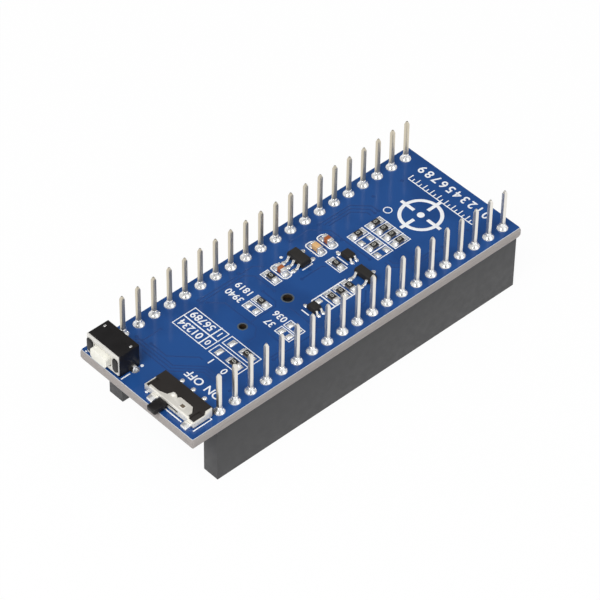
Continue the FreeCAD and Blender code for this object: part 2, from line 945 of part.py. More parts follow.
def chip(x, y, along, height, below=False):
    """Ceramic middle and two end caps, lying along X or Y on the board, or below it."""
    z0 = board_under - height if below else board_top
    z1 = z0 + height
    half_length, half_width = chip_length / 2, chip_width / 2
    middle_half = half_length - chip_cap
    spans = [(-middle_half, middle_half), (-half_length, -middle_half), (middle_half, half_length)]
    pieces = []
    for start, end in spans:
        if along == "x":
            pieces.append(block(x + start, x + end, y - half_width, y + half_width, z0, z1))
        else:
            pieces.append(block(x - half_width, x + half_width, y + start, y + end, z0, z1))
    return pieces


def save_chips(name, chips):
    save(name + "_bodies", *[pieces[0] for pieces in chips])
    save(name + "_caps", *[piece for pieces in chips for piece in pieces[1:]])


def save_chip_parts():
    resistors = [
        chip(power_resistor_x, power_row_y, "y", resistor_height),
        chip(*standby_resistor_place, "y", resistor_height),
    ]
    for x in lower_row_x:
        resistors.append(chip(x, lower_row_y, "y", resistor_height))
    for y in grid_rows:
        resistors.append(chip(full_column_x, y, "x", resistor_height))
    for y in grid_rows[::2]:
        resistors.append(chip(part_column_x, y, "x", resistor_height))
    save_chips("resistor", resistors)
    save_chips("jumper", [chip(x, y, "y", resistor_height) for x, y in jumper_places])
    capacitors = [chip(x, power_row_y, "y", capacitor_height) for x in power_capacitors_x]
    save_chips("capacitor", capacitors)
    first = -(decoupling_count - 1) * decoupling_spacing / 2
    decoupling = []
    for index in range(decoupling_count):
        y = first + index * decoupling_spacing
        decoupling.append(chip(decoupling_x, y, "y", capacitor_height, below=True))
    save_chips("decoupling", decoupling)
    lamps = []
    for side in (-1, 1):
        lamps.append(chip(lamp_x, side * lamp_spacing / 2, "y", lamp_height, below=True))
    save_chips("status_lamp", lamps)


# Receiver

def save_receiver():
    half_x, half_y = receiver_length / 2, receiver_width / 2
    carrier_low = board_under - receiver_board_thickness
    carrier = block(
        receiver_center_x - half_x, receiver_center_x + half_x,
        -half_y, half_y,
        carrier_low, board_under,
    )
    can = block(
        receiver_center_x - half_x + shield_inset, receiver_center_x + half_x - shield_inset,
        -half_y + shield_inset, half_y - shield_inset,
        carrier_low - shield_height, carrier_low,
    )
    can = can.makeChamfer(shield_corner_cut, upright_edges(can))
    wall = shield_inset + shield_sheet
    hollow = block(
        receiver_center_x - half_x + wall, receiver_center_x + half_x - wall,
        -half_y + wall, half_y - wall,
        carrier_low - shield_height + shield_sheet, carrier_low,
    )
    hollow = hollow.makeChamfer(shield_corner_cut - shield_sheet / 2, upright_edges(hollow))
    save("receiver_board", carrier)
    save("receiver_shield", can.cut(hollow))


# Backup cell and holder

def save_cell():
    end_x = holder_length / 2
    holder_low = board_under - holder_height
    pocket_depth = cell_thickness + 2 * clip_sheet
    pocket_top = holder_low + pocket_depth
    pocket_radius = cell_diameter / 2 + holder_cell_clearance
    cell_top = pocket_top - clip_sheet
    cell_low = cell_top - cell_thickness
    body = block(
        peg_middle_x - end_x, peg_middle_x + end_x,
        -holder_width / 2, holder_width / 2,
        holder_low, board_under,
    )
    body = body.makeChamfer(holder_corner_cut, upright_edges(body))
    pocket = disc(pocket_radius, holder_low, pocket_top, peg_middle_x, 0)
    thumb_notch = block(
        peg_middle_x - thumb_notch_width / 2, peg_middle_x + thumb_notch_width / 2,
        -holder_width / 2, holder_width / 2,
        holder_low, cell_top - cell_thickness / 2,
    )
    pegs = []
    hole_sizes = ((1, large_peg_hole_diameter), (-1, small_peg_hole_diameter))
    for side, hole in hole_sizes:
        x = peg_middle_x + side * peg_spacing / 2
        radius = hole / 2 - peg_clearance
        pegs.append(many_sided_post(radius, peg_sides, board_under, board_under + peg_length, x))
    half_clip = clip_width / 2
    inner_end = peg_middle_x + pocket_radius - clip_arm_over_cell
    outer_end = peg_middle_x + end_x
    positive = plate_along_y(
        [
            (inner_end, cell_low),
            (inner_end, cell_low - clip_sheet),
            (outer_end + clip_sheet, cell_low - clip_sheet),
            (outer_end + clip_sheet, board_under - clip_sheet),
            (outer_end + clip_tail_reach, board_under - clip_sheet),
            (outer_end + clip_tail_reach, board_under),
            (outer_end, board_under),
            (outer_end, cell_low),
        ],
        -half_clip, half_clip,
    )
    far_end = peg_middle_x - end_x
    negative = plate_along_y(
        [
            (peg_middle_x + clip_arm_over_cell, cell_top),
            (peg_middle_x + clip_arm_over_cell, pocket_top),
            (far_end, pocket_top),
            (far_end, board_under),
            (far_end - clip_tail_reach, board_under),
            (far_end - clip_tail_reach, board_under - clip_sheet),
            (far_end - clip_sheet, board_under - clip_sheet),
            (far_end - clip_sheet, cell_top),
        ],
        -half_clip, half_clip,
    )
    body = body.cut([pocket, thumb_notch, positive, negative]).fuse(pegs)
    save("cell_holder", body.removeSplitter())
    save("backup_cell", disc(cell_diameter / 2, cell_low, cell_top, peg_middle_x, 0))
    save("cell_positive_clip", positive)
    save("cell_negative_clip", negative)


# Antenna connector

def save_antenna_connector():
    half = antenna_base_side / 2
    base_low = board_under - antenna_base_thickness
    base = block(
        antenna_x - half, antenna_x + half,
        antenna_y - half, antenna_y + half,
        base_low, board_under,
    )
    ring_low = board_under - antenna_height
    ring = disc(antenna_ring_diameter / 2, ring_low, base_low, antenna_x, antenna_y)
    bore = disc(antenna_ring_bore / 2, ring_low, base_low, antenna_x, antenna_y)
    pin_low = board_under - antenna_pin_height
    pin = many_sided_post(
        antenna_pin_diameter / 2, peg_sides, pin_low, base_low, antenna_x, antenna_y
    )
    save("antenna_base", base)
    save("antenna_ring", ring.cut(bore))
    save("antenna_pin", pin)


os.makedirs("parts", exist_ok=True)
save("board", make_board())
save_rows()
save_button()
save_switch()
save_small_outline_devices()
save_chip_parts()
save_receiver()
save_cell()
save_antenna_connector()
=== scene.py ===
import math

import bpy
from mathutils import Matrix, Vector


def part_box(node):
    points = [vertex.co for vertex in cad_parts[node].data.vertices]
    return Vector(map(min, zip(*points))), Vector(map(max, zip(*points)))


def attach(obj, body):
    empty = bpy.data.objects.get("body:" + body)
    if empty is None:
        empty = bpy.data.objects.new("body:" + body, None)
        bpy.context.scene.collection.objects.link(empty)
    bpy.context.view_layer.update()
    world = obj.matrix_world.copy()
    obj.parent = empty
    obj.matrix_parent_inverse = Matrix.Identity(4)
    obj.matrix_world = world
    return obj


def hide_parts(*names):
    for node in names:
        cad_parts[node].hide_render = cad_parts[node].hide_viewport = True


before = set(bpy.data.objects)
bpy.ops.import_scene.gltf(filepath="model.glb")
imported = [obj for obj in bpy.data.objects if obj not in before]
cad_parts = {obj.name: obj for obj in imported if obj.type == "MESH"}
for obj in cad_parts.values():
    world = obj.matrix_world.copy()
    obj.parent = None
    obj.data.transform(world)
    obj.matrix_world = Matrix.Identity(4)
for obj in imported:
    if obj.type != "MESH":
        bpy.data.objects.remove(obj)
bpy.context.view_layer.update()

# Every new piece is modelled in millimetres, and brought to metres when it is finished.
mm = 0.001
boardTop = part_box("board")[1].z / mm
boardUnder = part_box("board")[0].z / mm


# Handling pieces

def select(piece=None):
    if bpy.context.object and bpy.context.object.mode != "OBJECT":
        bpy.ops.object.mode_set(mode="OBJECT")
    bpy.ops.object.select_all(action="DESELECT")
    if piece:
        piece.select_set(True)
        bpy.context.view_layer.objects.active = piece


def openEdit():
    bpy.ops.object.mode_set(mode="EDIT")
    bpy.ops.mesh.select_all(action="SELECT")


def closeEdit(piece):
    bpy.ops.mesh.select_all(action="SELECT")
    bpy.ops.mesh.normals_make_consistent(inside=False)
    bpy.ops.object.mode_set(mode="OBJECT")
    return piece


def scaleEdit(x, y, z):
    bpy.ops.transform.resize(value=(x, y, z), center_override=(0, 0, 0))


def copyAt(piece, x, y, z, angle=0.0):
    twin = piece.copy()
    twin.data = piece.data.copy()
    bpy.context.scene.collection.objects.link(twin)
    twin.location = (x, y, z)
    twin.rotation_euler.z = math.radians(angle)
    return twin


def joinPieces(pieces):
    select(pieces[0])
    for piece in pieces:
        piece.select_set(True)
    if len(pieces) > 1:
        bpy.ops.object.join()
    return pieces[0]


def remove(piece):
    bpy.data.objects.remove(piece)


def copiesAt(pattern, places, z):
    # a copy at each (x, y), instead of the pattern itself
    copies = [copyAt(pattern, x, y, z) for x, y in places]
    remove(pattern)
    return copies


def addBevel(piece, width):
    select(piece)
    bevel = piece.modifiers.new("rounding", "BEVEL")
    bevel.width = width
    bevel.segments = 2
    bevel.limit_method = "ANGLE"
    bevel.angle_limit = math.radians(28)
    bpy.ops.object.modifier_apply(modifier=bevel.name)
    return piece


def turnedPiece(rings, sides):
    # a round piece through (radius, height) rings, the lowest first
    select()
    radius, height = rings[0]
    bpy.ops.mesh.primitive_circle_add(
        vertices=sides, radius=radius, fill_type="NGON", location=(0, 0, height))
    piece = bpy.context.object
    bpy.ops.object.mode_set(mode="EDIT")
    for nextRadius, nextHeight in rings[1:]:
        bpy.ops.mesh.extrude_region_move(
            TRANSFORM_OT_translate={"value": (0, 0, nextHeight - height)})
        ratio = nextRadius / radius
        scaleEdit(ratio, ratio, 1)
        radius, height = nextRadius, nextHeight
    return closeEdit(piece)


def closeBelow(piece):
    # gives an open sheet its sides and a flat underside on z = 0
    openEdit()
    bpy.ops.mesh.extrude_region_move()
    scaleEdit(1, 1, 0)
    return closeEdit(piece)


def slab(width, length, height, rounding):
    # a flat plate standing on z = 0, with rounded edges
    select()
    bpy.ops.mesh.primitive_plane_add(size=1)
    piece = bpy.context.object
    openEdit()
    scaleEdit(width, length, 1)
    bpy.ops.mesh.extrude_region_move(TRANSFORM_OT_translate={"value": (0, 0, height)})
    return addBevel(closeEdit(piece), rounding)


def softenedCopy(nodes, rounding):
    # the CAD solids again, with their sharp edges rounded over
    copies = []
    for node in nodes:
        twin = bpy.data.objects.new(node + "Copy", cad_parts[node].data.copy())
        bpy.context.scene.collection.objects.link(twin)
        twin.data.transform(Matrix.Scale(1 / mm, 4))
        copies.append(twin)
    piece = joinPieces(copies)
    openEdit()
    bpy.ops.mesh.remove_doubles(threshold=0.002)
    bpy.ops.mesh.dissolve_limited(angle_limit=math.radians(2))
    bpy.ops.object.mode_set(mode="OBJECT")
    return addBevel(piece, rounding)


def finishPiece(piece, name, look, body="module", stands=(), smooth=35):
    # brings a piece to metres and gives it its look, its body and the nodes it stands for
    select(piece)
    bpy.ops.object.transform_apply(location=True, rotation=True, scale=True)
    bpy.ops.object.shade_smooth_by_angle(angle=math.radians(smooth))
    piece.data.transform(Matrix.Scale(mm, 4))
    piece.data.materials.clear()
    piece.data.materials.append(materials[look])
    piece.name = name
    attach(piece, body)
    if stands:
        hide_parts(*stands)


# Shader building blocks

def paint(red, green, blue):
    # a colour as seen on a screen, 0 to 255, in the shader's own scale
    steps = []
    for value in (red / 255, green / 255, blue / 255):
        steps.append(value / 12.92 if value <= 0.04045 else ((value + 0.055) / 1.055) ** 2.4)
    return (*steps, 1.0)


def addNode(tree, kind, values=None, **settings):
    node = tree.nodes.new(kind)
    for key, value in settings.items():
        setattr(node, key, value)
    for key, value in (values or {}).items():
        if isinstance(value, bpy.types.NodeSocket):
            tree.links.new(value, node.inputs[key])
        else:
            node.inputs[key].default_value = value
    return node


def mathNode(tree, operation, *values):
    return addNode(
        tree, "ShaderNodeMath", dict(enumerate(values)), operation=operation).outputs[0]


def mixColours(tree, factor, first, second):
    values = {"Factor": factor, 6: first, 7: second}
    return addNode(tree, "ShaderNodeMix", values, data_type="RGBA").outputs[2]


def mapRange(tree, value, low, high, first=0.0, last=1.0):
    return addNode(tree, "ShaderNodeMapRange", {
        "Value": value, "From Min": low, "From Max": high,
        "To Min": first, "To Max": last}).outputs["Result"]


def noise(tree, place, scale, detail, roughness=0.5):
    return addNode(tree, "ShaderNodeTexNoise", {
        "Vector": place, "Scale": scale, "Detail": detail,
        "Roughness": roughness}).outputs["Fac"]


def makeGroup(name, inputs, outputs):
    group = bpy.data.node_groups.new(name, "ShaderNodeTree")
    for label, kind in inputs:
        group.interface.new_socket(label, in_out="INPUT", socket_type="NodeSocket" + kind)
    for label, kind in outputs:
        group.interface.new_socket(label, in_out="OUTPUT", socket_type="NodeSocket" + kind)
    return group, group.nodes.new("NodeGroupInput").outputs, group.nodes.new("NodeGroupOutput")


def makeFineGrain():
    # small bumps and larger soft patches, from one place vector
    group, given, result = makeGroup(
        "fineGrain",
        [("Place", "Vector"), ("Stretch", "Vector"), ("Scale", "Float")],
        [("Height", "Float"), ("Patches", "Float")])
    stretched = addNode(
        group, "ShaderNodeVectorMath", {0: given["Place"], 1: given["Stretch"]},
        operation="MULTIPLY").outputs[0]
    wide = mathNode(group, "MULTIPLY", given["Scale"], 0.06)
    group.links.new(
        noise(group, stretched, given["Scale"], 3.0, 0.6), result.inputs["Height"])
    group.links.new(noise(group, given["Place"], wide, 2.0), result.inputs["Patches"])
    return group


def makeFibreLayers():
    # the cut edge of a glass-fibre board: thin layers with broken threads
    group, given, result = makeGroup(
        "fibreLayers", [("Place", "Vector")], [("Height", "Float"), ("Threads", "Float")])
    layers = addNode(
        group, "ShaderNodeVectorMath", {0: given["Place"], 1: (900, 900, 9000)},
        operation="MULTIPLY").outputs[0]
    threads = noise(group, layers, 1.0, 4.0)
    speckle = noise(group, given["Place"], 9000.0, 2.0)
    group.links.new(mathNode(group, "MULTIPLY", threads, speckle), result.inputs["Height"])
    group.links.new(threads, result.inputs["Threads"])
    return group


fineGrain = makeFineGrain()
fibreLayers = makeFibreLayers()
reliefDepth = 0.02 * mm


def makeMaterial(name, look):
    # colour, roughness and small relief, each varied by the shared grain
    material = bpy.data.materials.new(name)
    material.use_nodes = True
    tree = material.node_tree
    shader = tree.nodes["Principled BSDF"]
    place = addNode(tree, "ShaderNodeTexCoord").outputs["Object"]
    grain = addNode(tree, "ShaderNodeGroup", node_tree=fineGrain)
    tree.links.new(place, grain.inputs["Place"])
    grain.inputs["Stretch"].default_value = look.get("stretch", (1, 1, 1))
    grain.inputs["Scale"].default_value = look.get("scale", 12000)
    colour = look["colour"]
    spread = look.get("spread", 0.08)
    darker = tuple(value * (1 - spread) for value in colour[:3]) + (1.0,)
    lighter = tuple(min(1.0, value * (1 + spread)) for value in colour[:3]) + (1.0,)
    base = mixColours(tree, grain.outputs["Patches"], darker, lighter)
    tree.links.new(base, shader.inputs["Base Color"])
    rough = look.get("roughness", 0.4)
    roughSpread = look.get("roughSpread", 0.06)
    varied = mapRange(
        tree, grain.outputs["Patches"], 0.3, 0.7, rough - roughSpread, rough + roughSpread)
    tree.links.new(varied, shader.inputs["Roughness"])
    bump = addNode(tree, "ShaderNodeBump", {
        "Height": grain.outputs["Height"], "Strength": look.get("relief", 0.15),
        "Distance": reliefDepth})
    tree.links.new(bump.outputs["Normal"], shader.inputs["Normal"])
    shader.inputs["Metallic"].default_value = look.get("metallic", 0.0)
    shader.inputs["Specular IOR Level"].default_value = look.get("specular", 0.5)
    if "coat" in look:
        shader.inputs["Coat Weight"].default_value = look["coat"]
        shader.inputs["Coat Roughness"].default_value = 0.08
    if "sheen" in look:
        shader.inputs["Subsurface Weight"].default_value = look["sheen"]
        shader.inputs["Subsurface Radius"].default_value = (0.0006, 0.0006, 0.0006)
    return {"material": material, "tree": tree, "shader": shader, "place": place,
            "base": base, "grain": grain, "bump": bump, "rough": varied}


def splitPlace(parts):
    return addNode(parts["tree"], "ShaderNodeSeparateXYZ", {0: parts["place"]}).outputs


def within(tree, place, middle, reach):
    # 1 where a coordinate lies within reach of the middle, both in millimetres
    return mathNode(tree, "COMPARE", place, middle * mm, reach * mm)


def setBase(parts, colour):
    parts["tree"].links.new(colour, parts["shader"].inputs["Base Color"])


# Materials

looks = {
    "socketPlastic": {
        "slot": "socket_plastic", "colour": paint(66, 66, 67), "roughness": 0.55, "relief": 0.25,
        "scale": 16000, "spread": 0.07, "specular": 0.35},
    "contactMetal": {
        "slot": "contact_metal", "colour": (0.84, 0.81, 0.75, 1), "metallic": 1.0,
        "roughness": 0.33, "stretch": (1, 1, 0.05), "scale": 9000, "relief": 0.03, "spread": 0.04,
        "roughSpread": 0.04},
    "solderMetal": {
        "slot": "solder_metal", "colour": (0.93, 0.93, 0.92, 1), "metallic": 0.8, "roughness": 0.2,
        "scale": 2600, "relief": 0.1, "spread": 0.03, "roughSpread": 0.05},
    # painted shade: the push button's solder is a darker copy of the solder, for the shade it sits
    # in
    "shadedSolder": {
        "slot": "solder_metal", "colour": (0.42, 0.43, 0.45, 1), "metallic": 1.0, "roughness": 0.3,
        "scale": 2600, "relief": 0.2, "spread": 0.06},
    "blackMoulding": {
        "slot": "black_moulding", "colour": paint(22, 20, 20), "roughness": 0.42, "relief": 0.3,
        "scale": 15000, "spread": 0.15, "specular": 0.3},
    "switchMoulding": {
        "slot": "black_moulding", "colour": paint(36, 32, 29), "roughness": 0.5, "relief": 0.45,
        "scale": 11000, "spread": 0.18, "specular": 0.35},
    "whiteMoulding": {
        "slot": "white_moulding", "colour": paint(232, 230, 220), "roughness": 0.38, "relief": 0.12,
        "spread": 0.02, "specular": 0.4, "sheen": 0.3},
    "platePaint": {
        "slot": "white_moulding", "colour": paint(214, 212, 206), "roughness": 0.3, "relief": 0.1,
        "spread": 0.02},
    "springMetal": {
        "slot": "spring_metal", "colour": (0.74, 0.72, 0.68, 1), "metallic": 1.0, "roughness": 0.3,
        "stretch": (0.08, 1, 1), "scale": 15000},
    "leadMetal": {
        "slot": "lead_metal", "colour": (0.92, 0.91, 0.88, 1), "metallic": 0.75, "roughness": 0.25,
        "scale": 9000, "relief": 0.2},
    "coverMetal": {
        "slot": "cover_metal", "colour": (0.90, 0.87, 0.79, 1), "metallic": 0.45, "roughness": 0.38,
        "scale": 9000, "spread": 0.06},
    "brightCover": {
        "slot": "cover_metal", "colour": (0.93, 0.91, 0.85, 1), "metallic": 0.3, "roughness": 0.3,
        "scale": 9000, "relief": 0.1, "spread": 0.03},
    # painted shade: the colour of the shaded opening under the switch cover's window
    "windowShade": {
        "slot": "black_moulding", "colour": paint(104, 92, 76), "roughness": 0.5, "relief": 0.1},
    "deviceBlack": {
        "slot": "device_black", "colour": paint(37, 35, 33), "roughness": 0.58, "relief": 0.5,
        "scale": 14000, "spread": 0.15, "specular": 0.35},
    "resistorCeramic": {
        "slot": "resistor_ceramic", "colour": paint(30, 28, 27), "roughness": 0.3, "relief": 0.12,
        "spread": 0.1},
    "capMetal": {
        "slot": "cap_metal", "colour": (0.92, 0.91, 0.89, 1), "metallic": 0.8, "roughness": 0.24,
        "scale": 6000, "relief": 0.3},
    "capacitorCeramic": {
        "slot": "capacitor_ceramic", "colour": paint(166, 90, 44), "roughness": 0.42, "relief": 0.2,
        "scale": 14000, "spread": 0.12},
    "lampResin": {
        "slot": "lamp_resin", "colour": paint(235, 230, 205), "roughness": 0.2, "relief": 0.05,
        "coat": 0.6},
    "carrierBoard": {
        "colour": paint(22, 92, 66), "roughness": 0.3, "relief": 0.1, "scale": 9000},
    "shieldMetal": {
        "slot": "shield_metal", "colour": (0.76, 0.76, 0.74, 1), "metallic": 1.0, "roughness": 0.3,
        "stretch": (0.03, 1, 1), "scale": 14000, "relief": 0.2, "spread": 0.06},
    "cellSteel": {
        "slot": "cell_steel", "colour": (0.80, 0.80, 0.79, 1), "metallic": 1.0, "roughness": 0.25,
        "scale": 6000, "relief": 0.1},
    "antennaPlastic": {
        "colour": paint(226, 220, 205), "roughness": 0.5},
    "goldPlate": {
        "colour": (0.93, 0.71, 0.34, 1), "metallic": 1.0, "roughness": 0.22, "scale": 9000,
        "relief": 0.1},
    "printInk": {
        "slot": "board_mask", "colour": paint(238, 240, 243), "roughness": 0.55, "relief": 0.3,
        "scale": 9000, "spread": 0.04, "specular": 0.3},
    "bareLaminate": {
        "slot": "board_mask", "colour": paint(74, 84, 92), "roughness": 0.5, "relief": 0.3,
        "scale": 9000},
    "markInk": {
        "slot": "resistor_ceramic", "colour": paint(176, 174, 166), "roughness": 0.5,
        "relief": 0.1},
    "maskTrace": {
        "slot": "board_mask", "colour": paint(29, 67, 126), "roughness": 0.2, "relief": 0.06,
        "scale": 3000, "spread": 0.05, "specular": 0.4},
}
# painted shade: the far row's pins, the same parts as the near row, get a darker, yellower copy of
# the contact metal
looks["shadedContact"] = {**looks["contactMetal"], "colour": (0.66, 0.60, 0.48, 1)}
built = {name: makeMaterial(name, look) for name, look in looks.items()}
materials = {name: parts["material"] for name, parts in built.items()}

bodyLook = {
    "paleX": (3.87, 0.6),           # middle and reach, of the power row's pale chip
    "bareY": (4.08, 0.3),           # what the plated ends of the other two leave bare
    "paleColour": paint(222, 178, 122),
    "glazeLevel": boardTop + 0.3,   # a resistor is black above it and pale below
    "barColour": paint(120, 116, 110),
}


def finishCapacitors():
    # two colours of body: those below the board are pale too
    parts = built["capacitorCeramic"]
    tree = parts["tree"]
    x, y, z = splitPlace(parts)
    middle = within(tree, x, *bodyLook["paleX"])
    below = mathNode(tree, "LESS_THAN", z, boardUnder * mm)
    pale = mathNode(tree, "MAXIMUM", middle, below)
    bare = within(tree, y, *bodyLook["bareY"])
    plated = mathNode(tree, "LESS_THAN", mathNode(tree, "ADD", bare, pale), 0.5)
    body = mixColours(tree, pale, parts["base"], bodyLook["paleColour"])
    setBase(parts, mixColours(tree, plated, body, looks["capMetal"]["colour"]))
    tree.links.new(
        mathNode(tree, "MULTIPLY", plated, looks["capMetal"]["metallic"]),
        parts["shader"].inputs["Metallic"])


def finishResistors():
    parts = built["resistorCeramic"]
    tree = parts["tree"]
    sides = mathNode(tree, "LESS_THAN", splitPlace(parts)["Z"], bodyLook["glazeLevel"] * mm)
    setBase(parts, mixColours(tree, sides, parts["base"], bodyLook["barColour"]))


def finishCell():
    # turning marks round the middle of the cell
    parts = built["cellSteel"]
    tree = parts["tree"]
    low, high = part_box("backup_cell")
    middle = (low + high) / 2
    centred = addNode(
        tree, "ShaderNodeMapping",
        {"Vector": parts["place"], "Location": (-middle.x, -middle.y, 0)})
    rings = addNode(
        tree, "ShaderNodeTexWave",
        {"Vector": centred.outputs[0], "Scale": 2600.0, "Distortion": 0.4},
        wave_type="RINGS", rings_direction="Z")
    tree.links.new(rings.outputs["Fac"], parts["bump"].inputs["Height"])


carrierLook = {
    "edgeDark": paint(120, 128, 96),
    "edgePale": paint(170, 172, 140),
    "edgeMargin": 0.03,
}


def finishCarrier():
    # bare fibres where its board is cut
    parts = built["carrierBoard"]
    tree = parts["tree"]
    fibres = addNode(tree, "ShaderNodeGroup", {"Place": parts["place"]}, node_tree=fibreLayers)
    low, high = (corner.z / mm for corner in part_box("receiver_board"))
    edge = within(
        tree, splitPlace(parts)["Z"], (low + high) / 2,
        (high - low) / 2 - carrierLook["edgeMargin"])
    cut = mixColours(
        tree, fibres.outputs["Threads"], carrierLook["edgeDark"], carrierLook["edgePale"])
    setBase(parts, mixColours(tree, edge, parts["base"], cut))


boardLook = {
    "maskColour": paint(34, 78, 141),
    "shadeColour": paint(29, 70, 130),
    "patchScale": 160.0,
    "roughness": 0.11,
    "edgeDark": paint(141, 135, 132),
    "edgePale": paint(168, 162, 159),
    "edgeMargin": 0.02,
    "edgeRoughness": 0.7,
    "edgeRelief": 12.0,
    "arrisHighlight": paint(196, 203, 208),
    "arris": 0.09,                  # painted highlight: a pale line just below the top face, where the cut edge catches the light
    # painted shade: the walls of the two peg holes are dark brown, for the shade inside them
    "holeShade": paint(58, 44, 26),
    "holeX": (-8.6, 6.0),           # middle and reach of the field with the two peg holes
    "holeY": (0.0, 1.2),
}


def makeBoardMaterial():
    parts = makeMaterial("boardMask", {
        "colour": boardLook["maskColour"], "scale": 2600, "relief": 0.05,
        "roughness": boardLook["roughness"], "roughSpread": 0.03, "specular": 0.4})
    tree, place = parts["tree"], parts["place"]
    x, y, z = splitPlace(parts)
    soft = mapRange(tree, noise(tree, place, boardLook["patchScale"], 1.0), 0.42, 0.6)
    mask = mixColours(tree, soft, boardLook["maskColour"], boardLook["shadeColour"])
    fibres = addNode(tree, "ShaderNodeGroup", {"Place": place}, node_tree=fibreLayers)
    cut = mixColours(
        tree, fibres.outputs["Threads"], boardLook["edgeDark"], boardLook["edgePale"])
    edge = within(
        tree, z, (boardTop + boardUnder) / 2,
        (boardTop - boardUnder) / 2 - boardLook["edgeMargin"])
    # painted highlight along the top of the cut edge
    arris = mathNode(tree, "GREATER_THAN", z, (boardTop - boardLook["arris"]) * mm)
    cut = mixColours(tree, arris, cut, boardLook["arrisHighlight"])
    # painted shade inside the two peg holes
    along, across = within(tree, x, *boardLook["holeX"]), within(tree, y, *boardLook["holeY"])
    hole = mathNode(tree, "MULTIPLY", along, across)
    cut = mixColours(tree, hole, cut, boardLook["holeShade"])
    setBase(parts, mixColours(tree, edge, mask, cut))
    edgeRough = mathNode(tree, "MULTIPLY", edge, boardLook["edgeRoughness"])
    tree.links.new(
        mathNode(tree, "MAXIMUM", parts["rough"], edgeRough), parts["shader"].inputs["Roughness"])
    edgeRelief = mathNode(
        tree, "MULTIPLY", mathNode(tree, "MULTIPLY", edge, boardLook["edgeRelief"]),
        fibres.outputs["Height"])
    tree.links.new(
        mathNode(tree, "ADD", parts["grain"].outputs["Height"], edgeRelief),
        parts["bump"].inputs["Height"])
    return parts["material"]


finishCapacitors()
finishResistors()
finishCell()
finishCarrier()
materials["boardMask"] = makeBoardMaterial()
print("materials ready")


# CAD solids that keep their own mesh

dressing = {
    "board": "boardMask",
    "button_dome": "springMetal",
    "switch_wiper": "springMetal",
    "backup_cell": "cellSteel",
    "receiver_board": "carrierBoard",
    "antenna_base": "antennaPlastic",
    "antenna_ring": "goldPlate",
    "antenna_pin": "goldPlate",
}
for nodeName, materialName in dressing.items():
    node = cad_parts[nodeName]
    node.data.materials.clear()
    node.data.materials.append(materials[materialName])
for nodeName in ("backup_cell", "antenna_ring", "antenna_pin"):
    select(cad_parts[nodeName])
    bpy.ops.object.shade_smooth_by_angle(angle=math.radians(30))

# CAD solids shown again with their edges rounded: piece, its nodes, rounding, look
softened = [
    ("nearStrip", ["near_socket_housing"], 0.09, "socketPlastic"),
    ("farStrip", ["far_socket_housing"], 0.09, "socketPlastic"),
    ("nearPins", ["near_contacts"], 0.07, "contactMetal"),
    ("farPins", ["far_contacts"], 0.07, "shadedContact"),
    ("buttonShell", ["button_housing"], 0.07, "blackMoulding"),
    ("buttonPlate", ["button_front_plate"], 0.04, "platePaint"),
    ("buttonPlunger", ["button_plunger"], 0.2, "whiteMoulding"),
    ("buttonSolder", ["button_solder"], 0.08, "shadedSolder"),
    ("buttonTerminals", ["button_terminals"], 0.05, "leadMetal"),
    ("switchShell", ["switch_housing"], 0.07, "switchMoulding"),
    ("switchCover", ["switch_cover"], 0.045, "coverMetal"),
    ("switchKnob", ["switch_lever"], 0.09, "blackMoulding"),
    ("switchFootSolder", ["switch_foot_solder"], 0.12, "solderMetal"),
    ("switchLeads", ["switch_leads"], 0.03, "leadMetal"),
]
for device, kind in (
        ("regulator", "regulator"), ("load", "load_transistor"),
        ("standby", "standby_transistor"), ("reset", "reset_transistor")):
    softened.append((device + "Body", [kind + "_body"], 0.05, "deviceBlack"))
    softened.append((device + "Leads", [kind + "_leads"], 0.03, "leadMetal"))
softened += [
    ("resistorBars", ["resistor_bodies", "jumper_bodies"], 0.03, "resistorCeramic"),
    ("resistorCaps", ["resistor_caps", "jumper_caps"], 0.05, "capMetal"),
    ("capacitorBars", ["capacitor_bodies", "decoupling_bodies"], 0.05, "capacitorCeramic"),
    ("capacitorCaps", ["capacitor_caps", "decoupling_caps"], 0.09, "capMetal"),
    ("lampBodies", ["status_lamp_bodies"], 0.08, "lampResin"),
    ("lampCaps", ["status_lamp_caps"], 0.04, "capMetal"),
    ("shieldCan", ["receiver_shield"], 0.12, "shieldMetal"),
    ("cellHolder", ["cell_holder"], 0.12, "blackMoulding"),
    ("positiveClip", ["cell_positive_clip"], 0.06, "springMetal"),
    ("negativeClip", ["cell_negative_clip"], 0.06, "springMetal"),
]
riders = {"buttonPlunger": "plunger", "switchKnob": "lever"}      # the others ride the module
for name, nodes, rounding, look in softened:
    finishPiece(
        softenedCopy(nodes, rounding), name, look, riders.get(name, "module"), nodes,
        smooth=60 if "Solder" in name else 35)
print("rounded copies ready")


# Solder round the contacts

contactFillet = {
    "rings": [(0.79, 0.0), (0.79, 0.04), (0.75, 0.12), (0.68, 0.22), (0.58, 0.33), (0.49, 0.45),
              (0.43, 0.57), (0.39, 0.68), (0.36, 0.78), (0.33, 0.83), (0.2, 0.85)],
    "sides": 28,
    "turn": 37,                     # degrees from one to the next, and how their height varies
    "unevenness": 0.07,
    "pitch": 2.54,
    "count": 20,
    "rowY": 8.89,
}


def makeContactSolder():
    count, pitch = contactFillet["count"], contactFillet["pitch"]
    fillet = turnedPiece(contactFillet["rings"], contactFillet["sides"])
    for name, side in (("near", -1), ("far", 1)):
        copies = []
        for index in range(count):
            x = -(count - 1) * pitch / 2 + index * pitch
            twin = copyAt(
                fillet, x, side * contactFillet["rowY"], boardTop, index * contactFillet["turn"])
            twin.scale.z = 1 + contactFillet["unevenness"] * math.sin(index * 2.4 + side)
            copies.append(twin)
        finishPiece(
            joinPieces(copies), name + "Solder", "solderMetal",
            stands=(name + "_contact_solder",), smooth=60)
    remove(fillet)


makeContactSolder()
print("contact solder ready")


# Printed lines and figures

